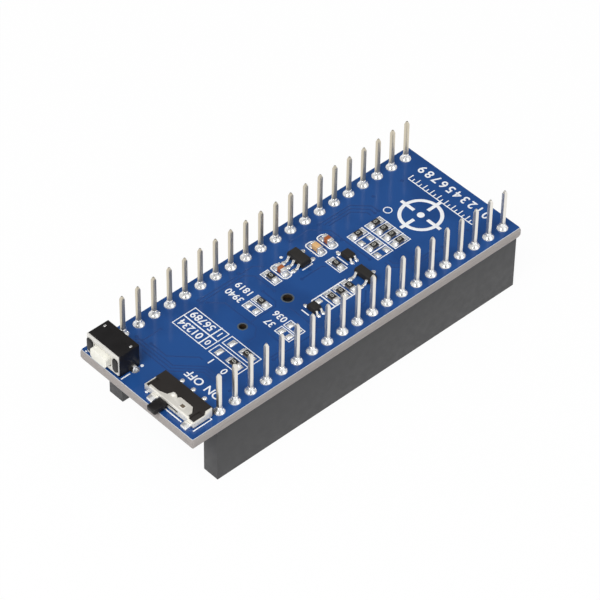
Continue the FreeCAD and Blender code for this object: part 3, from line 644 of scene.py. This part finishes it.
printLayer = {
    "lineWidth": 0.19,
    "thickness": 0.03,
    "levels": 7,                    # strips take turns on these, so none share a plane
    "levelStep": 0.005,
    "capital": 0.7,                 # height of a capital, as a share of the text's size
    "boldness": 0.018,
    "dotRings": [(0.22, 0.0), (0.22, 0.02), (0.17, 0.03)],
    "boxes": [                      # left, right, near, far
        (-4.6, -3.16, 2.63, 5.5), (3.07, 4.53, -1.1, 1.7),
        (-18.4, -14.4, 0.0, 6.45),
        (-18.4, -16.5, -5.85, -0.35), (-16.2, -14.35, -5.85, -0.35),
        (-10.0, -8.6, 0.2, 2.9), (-8.5, -7.1, 0.2, 2.9),
        (-10.0, -8.6, -5.9, -3.1), (-8.5, -7.1, -5.9, -3.1),
        (8.2, 11.0, -2.65, 3.2), (11.27, 14.1, -2.65, 3.2),
    ],
    "roundBoxes": [(-2.93, -1.4, 2.53, 5.6), (3.07, 4.67, 2.6, 5.67), (5.07, 6.6, 2.6, 5.7)],
    "lines": [
        [(-0.07, 2.43), (1.67, 2.43), (1.67, 2.8)],
        [(4.87, -0.67), (4.87, 1.33)],
        [(-4.93, -2.73), (-4.93, -4.07)],
        [(-2.93, -2.37), (2.87, -2.37)],
        [(-2.93, -5.07), (2.87, -5.07)],
        [(-1.45, -2.37), (-1.45, -5.07)], [(0.0, -2.37), (0.0, -5.07)],
        [(1.53, -2.37), (1.53, -5.07)], [(-2.93, -2.37), (-2.93, -3.2)],
        [(-16.4, 0.0), (-16.4, 6.45)], [(-18.4, 1.45), (-14.4, 1.45)],
        [(8.2, 1.74), (11.0, 1.74)], [(8.2, 0.28), (11.0, 0.28)], [(8.2, -1.18), (11.0, -1.18)],
        [(11.27, 1.74), (14.1, 1.74)], [(11.27, 0.28), (14.1, 0.28)],
        [(11.27, -1.18), (14.1, -1.18)],
        [(-28.7, -4.0), (-28.7, -7.2)],
        [(-28.7, -9.3), (-25.7, -9.3), (-25.7, -8.95)],
        [(-26.9, -0.2), (-25.6, -0.2)],
        [(-29.4, 3.1), (-28.0, 3.1)],
        [(-29.45, 9.45), (-29.45, 9.75)],
    ],
    "dots": [(-0.47, 5.93), (5.47, 1.87), (-28.5, -0.6), (-26.0, 3.15)],
    "figures": [                    # words, x, y, height of the figures
        ("OFF", -22.6, -2.75, 1.15), ("ON", -22.6, -6.15, 1.15),
        ("0", -17.35, 0.78, 0.9), ("1", -15.35, 0.78, 0.9),
        ("01234", -17.35, 3.95, 1.12), ("56789", -15.35, 3.95, 1.12),
        ("1", -19.2, -1.9, 1.0), ("0", -19.2, -4.3, 1.0),
        ("3940", -9.4, 4.75, 1.0), ("1819", -7.7, 4.75, 1.0),
        ("37", -9.4, -1.8, 1.0), ("036", -7.7, -1.8, 1.0),
    ],
}


def strokeCurve(paths, width, height, level, closed):
    # flat strips along paths of (x, y) points
    data = bpy.data.curves.new("strip", "CURVE")
    data.dimensions = "3D"
    data.bevel_depth = width / 2
    data.bevel_resolution = 1
    data.use_fill_caps = True
    for index, (path, loop) in enumerate(zip(paths, closed)):
        spline = data.splines.new("POLY")
        spline.points.add(len(path) - 1)
        step = index % printLayer["levels"] * printLayer["levelStep"]
        for knot, (x, y) in zip(spline.points, path):
            knot.co = (x, y, step, 1)
        spline.use_cyclic_u = loop
    strip = bpy.data.objects.new("strip", data)
    bpy.context.scene.collection.objects.link(strip)
    select(strip)
    bpy.ops.object.convert(target="MESH")
    strip = bpy.context.object
    openEdit()
    scaleEdit(1, 1, 2 * height / width)
    bpy.ops.transform.translate(value=(0, 0, level))
    return closeEdit(strip)


def roundedBox(left, right, near, far, radius=0.45, steps=4):
    path = []
    corners = ((right, far, 0), (left, far, 90), (left, near, 180), (right, near, 270))
    for cornerX, cornerY, start in corners:
        middleX = cornerX - radius * (1 if cornerX == right else -1)
        middleY = cornerY - radius * (1 if cornerY == far else -1)
        for step in range(steps + 1):
            angle = math.radians(start + 90 * step / steps)
            path.append((middleX + radius * math.cos(angle), middleY + radius * math.sin(angle)))
    return path


def figure(words, x, y, height, level, turn=90, mirror=False):
    # raised figures that read along +Y, their feet towards +X
    select()
    bpy.ops.object.text_add()
    piece = bpy.context.object
    piece.data.body = words
    piece.data.size = height / printLayer["capital"]
    piece.data.align_x = "CENTER"
    piece.data.align_y = "CENTER"
    piece.data.extrude = printLayer["thickness"] / 2
    piece.data.offset = height * printLayer["boldness"]
    piece.data.resolution_u = 4
    bpy.ops.object.convert(target="MESH")
    piece = bpy.context.object
    piece.rotation_euler = (math.pi if mirror else 0, 0, math.radians(turn))
    piece.location = (x, y, level)
    bpy.ops.object.transform_apply(location=True, rotation=True, scale=True)
    return piece


def makePrint():
    paths, closed = [], []
    half = printLayer["lineWidth"] / 2
    for left, right, near, far in printLayer["boxes"]:
        left, right, near, far = left + half, right - half, near + half, far - half
        paths.append([(left, near), (right, near), (right, far), (left, far)])
        closed.append(True)
    for left, right, near, far in printLayer["roundBoxes"]:
        paths.append(roundedBox(left + half, right - half, near + half, far - half))
        closed.append(True)
    for path in printLayer["lines"]:
        paths.append(path)
        closed.append(False)
    width, thick = printLayer["lineWidth"], printLayer["thickness"]
    pieces = [strokeCurve(paths, width, thick, boardTop, closed)]
    pieces += copiesAt(turnedPiece(printLayer["dotRings"], 16), printLayer["dots"], boardTop)
    for words, x, y, height in printLayer["figures"]:
        pieces.append(figure(words, x, y, height, boardTop + thick / 2))
    finishPiece(joinPieces(pieces), "topPrint", "printInk")


makePrint()


# A plain sighting ring and a millimetre scale fill the free end of the board

endMarks = {
    "centre": (18.1, -0.2),
    "outer": 2.75,
    "inner": 1.25,
    "stroke": 0.5,
    "arm": 3.6,
    "hubRings": [(0.5, 0.0), (0.5, 0.02), (0.42, 0.03)],
    "scaleX": 21.7,
    "scaleStart": -5.85,
    "scaleStep": 0.65,
    "scaleSteps": 18,
    "tickLengths": (0.95, 0.55),    # with a figure, and between figures
    "tickWidth": 0.15,
    "figureX": 24.35,
    "figureHeight": 1.35,
    "ring": (15.6, 3.3, 0.55),      # x, y, radius
    "ringWidth": 0.14,
}


def ringPath(x, y, radius, steps=48):
    turns = [2 * math.pi / steps * index for index in range(steps)]
    return [(x + radius * math.cos(turn), y + radius * math.sin(turn)) for turn in turns]


def makeEndMarks():
    x, y = endMarks["centre"]
    outer, inner, arm = endMarks["outer"], endMarks["inner"], endMarks["arm"]
    bold = [ringPath(x, y, outer)]
    loops = [True]
    for stepX, stepY in ((1, 0), (-1, 0), (0, 1), (0, -1)):
        bold.append([(x + stepX * inner, y + stepY * inner), (x + stepX * arm, y + stepY * arm)])
        loops.append(False)
    thick = printLayer["thickness"]
    pieces = [strokeCurve(bold, endMarks["stroke"], thick, boardTop, loops)]
    pieces += copiesAt(turnedPiece(endMarks["hubRings"], 24), [(x, y)], boardTop)
    start, step, foot = endMarks["scaleStart"], endMarks["scaleStep"], endMarks["scaleX"]
    steps = endMarks["scaleSteps"]
    ticks = [[(foot, start), (foot, start + steps * step)]]
    for index in range(steps + 1):
        place = start + index * step
        ticks.append([(foot, place), (foot + endMarks["tickLengths"][index % 2], place)])
        if index % 2 == 0:
            pieces.append(figure(
                str(index // 2), endMarks["figureX"], place, endMarks["figureHeight"],
                boardTop + thick / 2))
    loops = [False] * len(ticks)
    pieces.append(strokeCurve(ticks, endMarks["tickWidth"], thick, boardTop, loops))
    small = ringPath(*endMarks["ring"], 24)
    pieces.append(strokeCurve([small], endMarks["ringWidth"], thick, boardTop, [True]))
    finishPiece(joinPieces(pieces), "endPrint", "printInk")


makeEndMarks()
print("print ready")


# Pads, their tinning, and the solder at the ends of the chips

chips = {
    "alongX": [(12.67, 2.47), (12.67, 1.01), (12.67, -0.45), (12.67, -1.91),
               (9.6, 2.47), (9.6, -0.45)],
    "alongY": [(-3.87, 4.08), (3.8, 0.3), (-0.7, -3.72), (0.79, -3.72), (2.28, -3.72),
               (-17.45, -4.15), (-15.28, -4.15), (-7.8, 1.55)],
    "tallAlongY": [(-2.17, 4.08), (3.87, 4.08), (5.83, 4.08)],
    "half": 0.8,
    "top": 0.46,
    "wedge": (0.36, 0.82, 0.3),     # reach, width and height of the solder at one end
    "tallWedge": (0.3, 0.66, 0.45),
    "lift": 0.015,                  # thickness where the solder runs out
    "markHeight": 0.58,
}
pads = {
    "small": [(-9.3, 0.85), (-9.3, 2.25), (-9.3, -3.85), (-9.3, -5.2), (-7.8, -3.85),
              (-7.8, -5.2), (-2.37, -3.05)],
    "wide": [(-17.45, -1.4), (-15.28, -1.4)],
    "grid": [(8.85, 1.01), (10.35, 1.01), (8.85, -1.91), (10.35, -1.91)],
    "plate": (0.8, 0.95, 0.04, 0.02),        # length, width, height and rounding
    "pillow": (0.736, 0.874, 0.22),
    "pillowLift": 0.01,
    "offset": 0.83,                 # from the middle of a chip
}


def solderWedge(reach, width, height):
    # one end's solder, its high side on x = 0, drawn down to the pad's end
    select()
    bpy.ops.mesh.primitive_grid_add(x_subdivisions=6, y_subdivisions=4, size=1)
    piece = bpy.context.object
    openEdit()
    scaleEdit(reach, width, 1)
    bpy.ops.transform.translate(value=(reach / 2, 0, 0))
    bpy.ops.object.mode_set(mode="OBJECT")
    for corner in piece.data.vertices:
        run = max(0.0, 1 - corner.co.x / reach)
        side = 1 - abs(corner.co.y * 2 / width) ** 4 * 0.75
        corner.co.z = chips["lift"] + height * run ** 1.7 * side
    return closeBelow(piece)


def solderPillow(width, length, height):
    # low solder on an empty pad
    select()
    bpy.ops.mesh.primitive_grid_add(x_subdivisions=8, y_subdivisions=8, size=1)
    piece = bpy.context.object
    for corner in piece.data.vertices:
        slopes = [1 - abs(place * 2) ** 3 for place in (corner.co.x, corner.co.y)]
        corner.co.z = pads["pillowLift"] + height * slopes[0] * slopes[1]
        corner.co.x *= width
        corner.co.y *= length
    return closeBelow(piece)


def makePads():
    pad = slab(*pads["plate"])
    pillow = solderPillow(*pads["pillow"])
    wedge = solderWedge(*chips["wedge"])
    tallWedge = solderWedge(*chips["tallWedge"])
    plates, solder = [], []
    groups = (("alongX", 0, wedge), ("alongY", 90, wedge), ("tallAlongY", 90, tallWedge))
    for key, turn, drop in groups:
        for x, y in chips[key]:
            for side in (0, 180):
                angle = math.radians(turn + side)
                stepX, stepY = math.cos(angle), math.sin(angle)
                offset, half = pads["offset"], chips["half"]
                plates.append(copyAt(pad, x + stepX * offset, y + stepY * offset, boardTop, turn))
                solder.append(copyAt(
                    drop, x + stepX * half, y + stepY * half, boardTop + 0.02, turn + side))
    for key, turn, stretch in (("small", 90, 1.0), ("wide", 90, 1.25), ("grid", 0, 1.0)):
        for x, y in pads[key]:
            for pattern, level, group in ((pad, 0.0, plates), (pillow, 0.03, solder)):
                group.append(copyAt(pattern, x, y, boardTop + level, turn))
                group[-1].scale.y = stretch
    for piece in (pad, pillow, wedge, tallWedge):
        remove(piece)
    finishPiece(joinPieces(plates), "padPlates", "solderMetal")
    finishPiece(joinPieces(solder), "chipSolder", "solderMetal", smooth=50)


def makeChipMarks():
    marks = [
        figure("0", x, y, chips["markHeight"], boardTop + chips["top"], turn)
        for key, turn in (("alongX", 90), ("alongY", 0)) for x, y in chips[key]]
    finishPiece(joinPieces(marks), "chipMarks", "markInk")


makePads()
makeChipMarks()


# Solder at the feet of the leads

leadFeet = {
    "rings": [(0.34, 0.0), (0.34, 0.03), (0.3, 0.09), (0.22, 0.16), (0.1, 0.2)],
    "groups": [                     # stretch, places
        ((1.35, 0.95, 1.0), [
            (-1.02, 4.92), (-1.02, 3.97), (-1.02, 3.02), (2.2, 4.92), (2.2, 3.02),
            (3.32, -2.83), (3.32, -4.73), (6.25, -3.78)]),
        ((0.8, 1.1, 0.9), [
            (5.35, 1.55), (5.5, -0.75), (6.25, -0.75), (-4.1, -2.55), (-4.1, -4.9),
            (-3.35, -4.9)]),
        ((1.3, 0.95, 1.6), [(-24.15, -6.18), (-24.15, -4.15), (-24.15, -2.12)]),
    ],
}


def makeLeadSolder():
    drop = turnedPiece(leadFeet["rings"], 20)
    drops = []
    for stretch, places in leadFeet["groups"]:
        for x, y in places:
            drops.append(copyAt(drop, x, y, boardTop))
            drops[-1].scale = stretch
    remove(drop)
    finishPiece(joinPieces(drops), "leadSolder", "solderMetal", smooth=60)


makeLeadSolder()
print("solder ready")


# Copper tracks under the mask, joining vias

tracks = {
    "width": 0.24,
    "thickness": 0.02,
    "paths": [
        [(-24.5, 8.0), (-22.9, 6.4), (-20.2, 6.4)],
        [(-23.2, 7.4), (-23.2, 0.7), (-20.3, -2.2), (-20.3, -5.4)],
        [(-23.7, 6.6), (-23.7, 0.5), (-20.75, -2.45), (-20.75, -5.6)],
        [(-24.2, 5.2), (-24.2, 0.3), (-21.2, -2.7), (-21.2, -5.8)],
        [(-22.7, 5.3), (-22.7, 2.4), (-19.85, -0.45), (-19.85, -1.0)],
        [(-13.4, 7.1), (-4.2, 7.1), (-3.2, 6.1)],
        [(-13.4, 6.6), (-6.2, 6.6), (-5.2, 5.6), (-5.2, 2.0)],
        [(-12.8, 6.1), (-11.2, 4.5), (-11.2, -1.2), (-12.4, -2.4), (-13.6, -2.4)],
        [(-13.4, -6.8), (-6.2, -6.8), (-5.0, -5.6)],
        [(-13.4, -6.3), (-11.6, -6.3), (-10.8, -5.5), (-10.8, -3.0)],
        [(-6.3, 2.9), (-6.3, 0.6), (-7.0, -0.1), (-11.2, -0.1)],
        [(7.2, 7.2), (12.6, 7.2), (14.6, 5.2), (14.6, 4.0)],
        [(7.6, 6.7), (12.2, 6.7), (14.0, 4.9), (14.0, 4.0)],
        [(8.0, 6.2), (11.8, 6.2), (13.3, 4.7), (13.3, 4.0)],
        [(2.4, 7.3), (5.6, 7.3), (7.6, 5.3), (7.6, -1.8)],
        [(8.6, -3.5), (8.6, -4.6), (10.4, -6.4), (14.9, -6.4)],
        [(9.3, -3.5), (9.3, -4.3), (10.9, -5.9), (14.9, -5.9)],
        [(-1.2, 1.3), (2.2, 1.3), (2.6, 0.9)],
        [(-5.8, -1.4), (-5.8, -6.1), (-4.9, -7.0), (1.9, -7.0), (3.4, -5.5)],
    ],
    "vias": [
        (-20.2, 6.4), (-22.7, 5.3), (-24.5, 8.0), (-23.2, 7.4), (-20.3, -5.4), (-13.4, 7.1),
        (-13.4, 6.6), (-12.8, 6.1), (-5.2, 2.0), (-13.6, -2.4), (-13.4, -6.8), (-6.3, 2.9),
        (-11.2, -0.1), (7.2, 7.2), (14.6, 4.0), (14.0, 4.0), (2.4, 7.3), (7.6, -1.8),
        (14.9, -6.4), (14.9, -5.9), (-1.2, 1.3), (1.9, 5.9), (7.4, 3.2), (16.0, 6.4),
        (20.8, 6.1), (16.0, -6.3), (20.6, -6.2), (-20.9, -7.2), (-6.4, 7.4), (0.7, 1.9),
        (1.4, -6.1),
    ],
    "viaRings": [(0.24, 0.0), (0.24, 0.015), (0.192, 0.025), (0.12, 0.024), (0.072, 0.012)],
}


def makeTracks():
    paths = tracks["paths"]
    copper = strokeCurve(
        paths, tracks["width"], tracks["thickness"], boardTop, [False] * len(paths))
    vias = copiesAt(turnedPiece(tracks["viaRings"], 16), tracks["vias"], boardTop)
    finishPiece(joinPieces([copper] + vias), "maskTracks", "maskTrace")


makeTracks()


# Slide switch: a flat plate of painted shade for the window in its cover, and the bright head of
# the rivet beside it

switchMarks = {
    "coverTop": 1.4,                # above the board
    "window": (-27.72, -6.33),
    "windowPlate": (0.5, 0.62, 0.02, 0.006),     # width, length, height and rounding
    "windowEdge": (-0.28, 0.28, -0.34, 0.34, 0.08),
    "edgeStroke": (0.09, 0.05),     # width and height
    "rivet": (-27.25, -4.11),
    "rivetRings": [(0.3, 0.0), (0.29, 0.07), (0.24, 0.13), (0.15, 0.17), (0.05, 0.18)],
}


def makeSwitchMarks():
    level = boardTop + switchMarks["coverTop"]
    # painted shade: a thin brown plate on the cover stands in for the shaded opening of the window
    window = slab(*switchMarks["windowPlate"])
    window.location = (*switchMarks["window"], level - 0.005)
    edge = strokeCurve(
        [roundedBox(*switchMarks["windowEdge"])], *switchMarks["edgeStroke"], 0.0, [True])
    edge.location = (*switchMarks["window"], level)
    finishPiece(window, "switchWindowShade", "windowShade")
    rivet = turnedPiece(switchMarks["rivetRings"], 24)
    rivet.location = (*switchMarks["rivet"], level - 0.03)
    finishPiece(joinPieces([edge, rivet]), "switchRivet", "brightCover", smooth=60)


makeSwitchMarks()


# Push button: the broad heads of the two bosses that hold its front plate

bossHeads = {
    "places": [(8.6, 1.15), (3.92, 0.95)],      # y, width
    "height": 2.15,
    "level": 11.96,
    "plateFront": -29.55,
    "profile": [(1.0, 0.0), (1.0, 0.1), (0.9, 0.15), (0.6, 0.17)],   # radius share, depth
}


def makeBossHeads():
    heads = []
    for y, width in bossHeads["places"]:
        head = turnedPiece(
            [(share * width / 2, depth) for share, depth in bossHeads["profile"]], 32)
        straight = (bossHeads["height"] - width) / 2
        for corner in head.data.vertices:
            corner.co.x += straight if corner.co.x > 0 else -straight
        head.rotation_euler.y = math.radians(-90)
        head.location = (bossHeads["plateFront"], y, bossHeads["level"])
        heads.append(head)
    finishPiece(joinPieces(heads), "buttonBosses", "blackMoulding")


makeBossHeads()


# Bare rings round the two peg holes

pegHoles = {
    "holes": [(-4.8, 0.65), (-12.35, 0.475)],    # x, radius
    "ringWidth": 0.1,
    "flatness": 0.12,
}


def makeHoleRings():
    rings = []
    width = pegHoles["ringWidth"]
    for x, radius in pegHoles["holes"]:
        select()
        bpy.ops.mesh.primitive_torus_add(
            major_radius=radius + width, minor_radius=width, major_segments=40,
            minor_segments=8, location=(x, 0, 0))
        ring = bpy.context.object
        openEdit()
        scaleEdit(1, 1, pegHoles["flatness"])
        bpy.ops.transform.translate(value=(0, 0, boardTop))
        rings.append(closeEdit(ring))
    finishPiece(joinPieces(rings), "holeRings", "bareLaminate")


makeHoleRings()
print("board details ready")


# Underside: printed outlines and pin numbers, seen when the board is turned over

underPrint = {
    "boxes": [(4.35, 14.85, -5.05, 5.05), (-17.2, 0.05, -7.15, 7.15), (-23.7, -21.1, -2.4, 2.4)],
    "figures": [("1", 25.1, -6.9), ("20", -25.2, -6.5), ("21", -25.2, 6.5), ("40", 25.1, 6.5),
                ("+", 3.3, 6.2), ("0", -24.6, 1.6), ("1", -24.6, -1.6)],
    "height": 1.1,
    "corner": 0.3,
    "stroke": 0.16,
}


def makeUnderPrint():
    thick = printLayer["thickness"]
    paths = [roundedBox(*box, underPrint["corner"]) for box in underPrint["boxes"]]
    loops = [True] * len(paths)
    pieces = [strokeCurve(paths, underPrint["stroke"], thick, boardUnder, loops)]
    for words, x, y in underPrint["figures"]:
        pieces.append(figure(
            words, x, y, underPrint["height"], boardUnder - thick / 2, mirror=True))
    finishPiece(joinPieces(pieces), "underPrint", "printInk")


makeUnderPrint()


# Receiver: a drop of solder at each contact along two sides of its board

receiverJoints = {
    "count": 9,
    "pitch": 1.1,
    "height": 0.78,
    "gap": 0.01,
    "rings": [(0.162, 0.0), (0.27, 0.06), (0.27, 0.468), (0.405, 0.663), (0.513, 0.78)],
}


def makeReceiverSolder():
    low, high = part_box("receiver_board")
    pitch, count = receiverJoints["pitch"], receiverJoints["count"]
    first = (low.x + high.x) / 2 / mm - (count - 1) * pitch / 2
    places = [
        (first + index * pitch, y) for index in range(count) for y in (low.y / mm, high.y / mm)]
    level = boardUnder - receiverJoints["height"] - receiverJoints["gap"]
    drops = copiesAt(turnedPiece(receiverJoints["rings"], 16), places, level)
    finishPiece(joinPieces(drops), "receiverSolder", "solderMetal", smooth=50)


makeReceiverSolder()


# Shield: the pressed step round its top

shieldPress = {
    "margin": 1.0,
    "width": 0.3,
    "height": 0.14,
    "radius": 0.6,
}


def makeShieldStep():
    low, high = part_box("receiver_shield")
    left, right = low.x / mm + shieldPress["margin"], high.x / mm - shieldPress["margin"]
    near, far = low.y / mm + shieldPress["margin"], high.y / mm - shieldPress["margin"]
    step = strokeCurve(
        [roundedBox(left, right, near, far, shieldPress["radius"])],
        shieldPress["width"], shieldPress["height"], low.z / mm, [True])
    finishPiece(step, "shieldStep", "shieldMetal")


makeShieldStep()


# Backup cell: a crimped seam and a pressed plus sign

cellMarks = {
    "seamInset": 0.55,
    "seamRadius": 0.09,
    "seamSink": 0.02,
    "plusY": 3.2,                   # from the middle of the cell
    "plusArm": 0.9,
    "stroke": (0.24, 0.1),          # width and height
}


def makeCellDetail():
    low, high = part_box("backup_cell")
    x, y = (low.x + high.x) / 2 / mm, (low.y + high.y) / 2 / mm
    radius = (high.x - low.x) / 2 / mm
    select()
    bpy.ops.mesh.primitive_torus_add(
        major_radius=radius - cellMarks["seamInset"], minor_radius=cellMarks["seamRadius"],
        major_segments=72, minor_segments=8, location=(x, y, low.z / mm + cellMarks["seamSink"]))
    seam = bpy.context.object
    arm, plusY = cellMarks["plusArm"], y + cellMarks["plusY"]
    plus = [[(x - arm, plusY), (x + arm, plusY)], [(x, plusY - arm), (x, plusY + arm)]]
    bars = strokeCurve(plus, *cellMarks["stroke"], low.z / mm, [False, False])
    finishPiece(joinPieces([seam, bars]), "cellSeam", "cellSteel")


makeCellDetail()
print("underside ready")


# Floor, light and camera

studio = {
    "floorSize": 6.0,
    "floorColour": (0.92, 0.92, 0.92, 1),
    "floorGlow": 0.955,             # share of plain white that the lens and polished metal see
    # height of the direction (0 level, 1 overhead) and how bright the tent's far side is there
    "sky": [(0.0, 0.8), (0.4, 0.6), (0.56, 0.25), (0.8, 0.25), (0.9, 1.0), (1.0, 1.0)],
    "nearSky": 0.9,
    "farSide": (0.686, 0.728, 0.0),
    "opening": (-0.491, -0.521, 0.698),      # where the lens looks in: a dark round opening
    "skyStrength": 0.75,
    "keyPlace": (-0.42, -0.12, 0.55),
    "keySize": 0.45,
    "keyPower": 3.0,
    "fillPlace": (0.15, -0.55, 0.3),
    "fillSize": 0.4,
    "fillPower": 0.5,
}


def makeFloor():
    select()
    bpy.ops.mesh.primitive_plane_add(size=studio["floorSize"], location=(0, 0, -0.00002))
    floor = bpy.context.object
    floor.name = "floor"
    material = bpy.data.materials.new("floorCard")
    material.use_nodes = True
    tree = material.node_tree
    shader = tree.nodes["Principled BSDF"]
    shader.inputs["Base Color"].default_value = studio["floorColour"]
    shader.inputs["Roughness"].default_value = 0.9
    shader.inputs["Specular IOR Level"].default_value = 0.0
    path = addNode(tree, "ShaderNodeLightPath").outputs
    seen = mathNode(tree, "MAXIMUM", path["Is Camera Ray"], path["Is Glossy Ray"])
    seen = mathNode(tree, "MAXIMUM", seen, path["Is Transmission Ray"])
    share = mathNode(tree, "MULTIPLY", seen, studio["floorGlow"])
    glow = addNode(tree, "ShaderNodeEmission", {"Strength": 1.0})
    blend = addNode(tree, "ShaderNodeMixShader", {0: share})
    tree.links.new(shader.outputs[0], blend.inputs[1])
    tree.links.new(glow.outputs[0], blend.inputs[2])
    tree.links.new(blend.outputs[0], tree.nodes["Material Output"].inputs["Surface"])
    floor.data.materials.append(material)


def makeSky():
    world = bpy.data.worlds.new("studioSky")
    bpy.context.scene.world = world
    world.use_nodes = True
    tree = world.node_tree
    direction = addNode(tree, "ShaderNodeTexCoord").outputs["Generated"]
    height = addNode(tree, "ShaderNodeSeparateXYZ", {0: direction}).outputs["Z"]
    ramp = addNode(tree, "ShaderNodeValToRGB", {"Fac": height})
    stops = ramp.color_ramp.elements
    for place in studio["sky"][1:-1]:
        stops.new(place[0])
    for stop, (place, level) in zip(stops, studio["sky"]):
        stop.position = place
        stop.color = (level, level, level * 1.02, 1)
    side = addNode(
        tree, "ShaderNodeVectorMath", {0: direction, 1: studio["farSide"]},
        operation="DOT_PRODUCT").outputs["Value"]
    far = mapRange(tree, side, 0.05, 0.4)
    facing = addNode(
        tree, "ShaderNodeVectorMath", {0: direction, 1: studio["opening"]},
        operation="DOT_PRODUCT").outputs["Value"]
    level = mapRange(tree, facing, 0.94, 0.97, studio["nearSky"], 0.0)
    near = addNode(
        tree, "ShaderNodeCombineColor", {0: level, 1: level, 2: level}).outputs[0]
    background = tree.nodes["Background"]
    tree.links.new(
        mixColours(tree, far, near, ramp.outputs["Color"]), background.inputs["Color"])
    background.inputs["Strength"].default_value = studio["skyStrength"]


def makeLamp(name, place, size, power):
    data = bpy.data.lights.new(name, "AREA")
    data.shape = "DISK"
    data.size = size
    data.energy = power
    lamp = bpy.data.objects.new(name, data)
    bpy.context.scene.collection.objects.link(lamp)
    lamp.location = place
    aim = Vector((0, 0, 0.01)) - Vector(place)
    lamp.rotation_euler = aim.to_track_quat("-Z", "Y").to_euler()


view = {
    "azimuth": -43.307,
    "elevation": 44.306,
    "roll": 0.919,
    "distance": 0.429634,
    "target": (-0.003638, -0.001019, 0.00972),
    "lens": 206.85,
    "sensor": 36.0,
}


def makeCamera():
    azimuth, elevation = math.radians(view["azimuth"]), math.radians(view["elevation"])
    back = Vector((
        math.sin(azimuth) * math.cos(elevation),
        -math.cos(azimuth) * math.cos(elevation),
        math.sin(elevation)))
    right = Vector((math.cos(azimuth), math.sin(azimuth), 0))
    up = back.cross(right)
    roll = math.radians(view["roll"])
    across = math.cos(roll) * right + math.sin(roll) * up
    upward = -math.sin(roll) * right + math.cos(roll) * up
    data = bpy.data.cameras.new("photoCamera")
    data.lens = view["lens"]
    data.sensor_width = view["sensor"]
    camera = bpy.data.objects.new("photoCamera", data)
    bpy.context.scene.collection.objects.link(camera)
    turn = Matrix((across, upward, back)).transposed().to_4x4()
    place = Vector(view["target"]) + back * view["distance"]
    camera.matrix_world = Matrix.Translation(place) @ turn
    bpy.context.scene.camera = camera


makeFloor()
makeSky()
makeLamp("keyLamp", studio["keyPlace"], studio["keySize"], studio["keyPower"])
makeLamp("fillLamp", studio["fillPlace"], studio["fillSize"], studio["fillPower"])
makeCamera()
bpy.context.scene.view_settings.view_transform = "Standard"
print("studio ready")
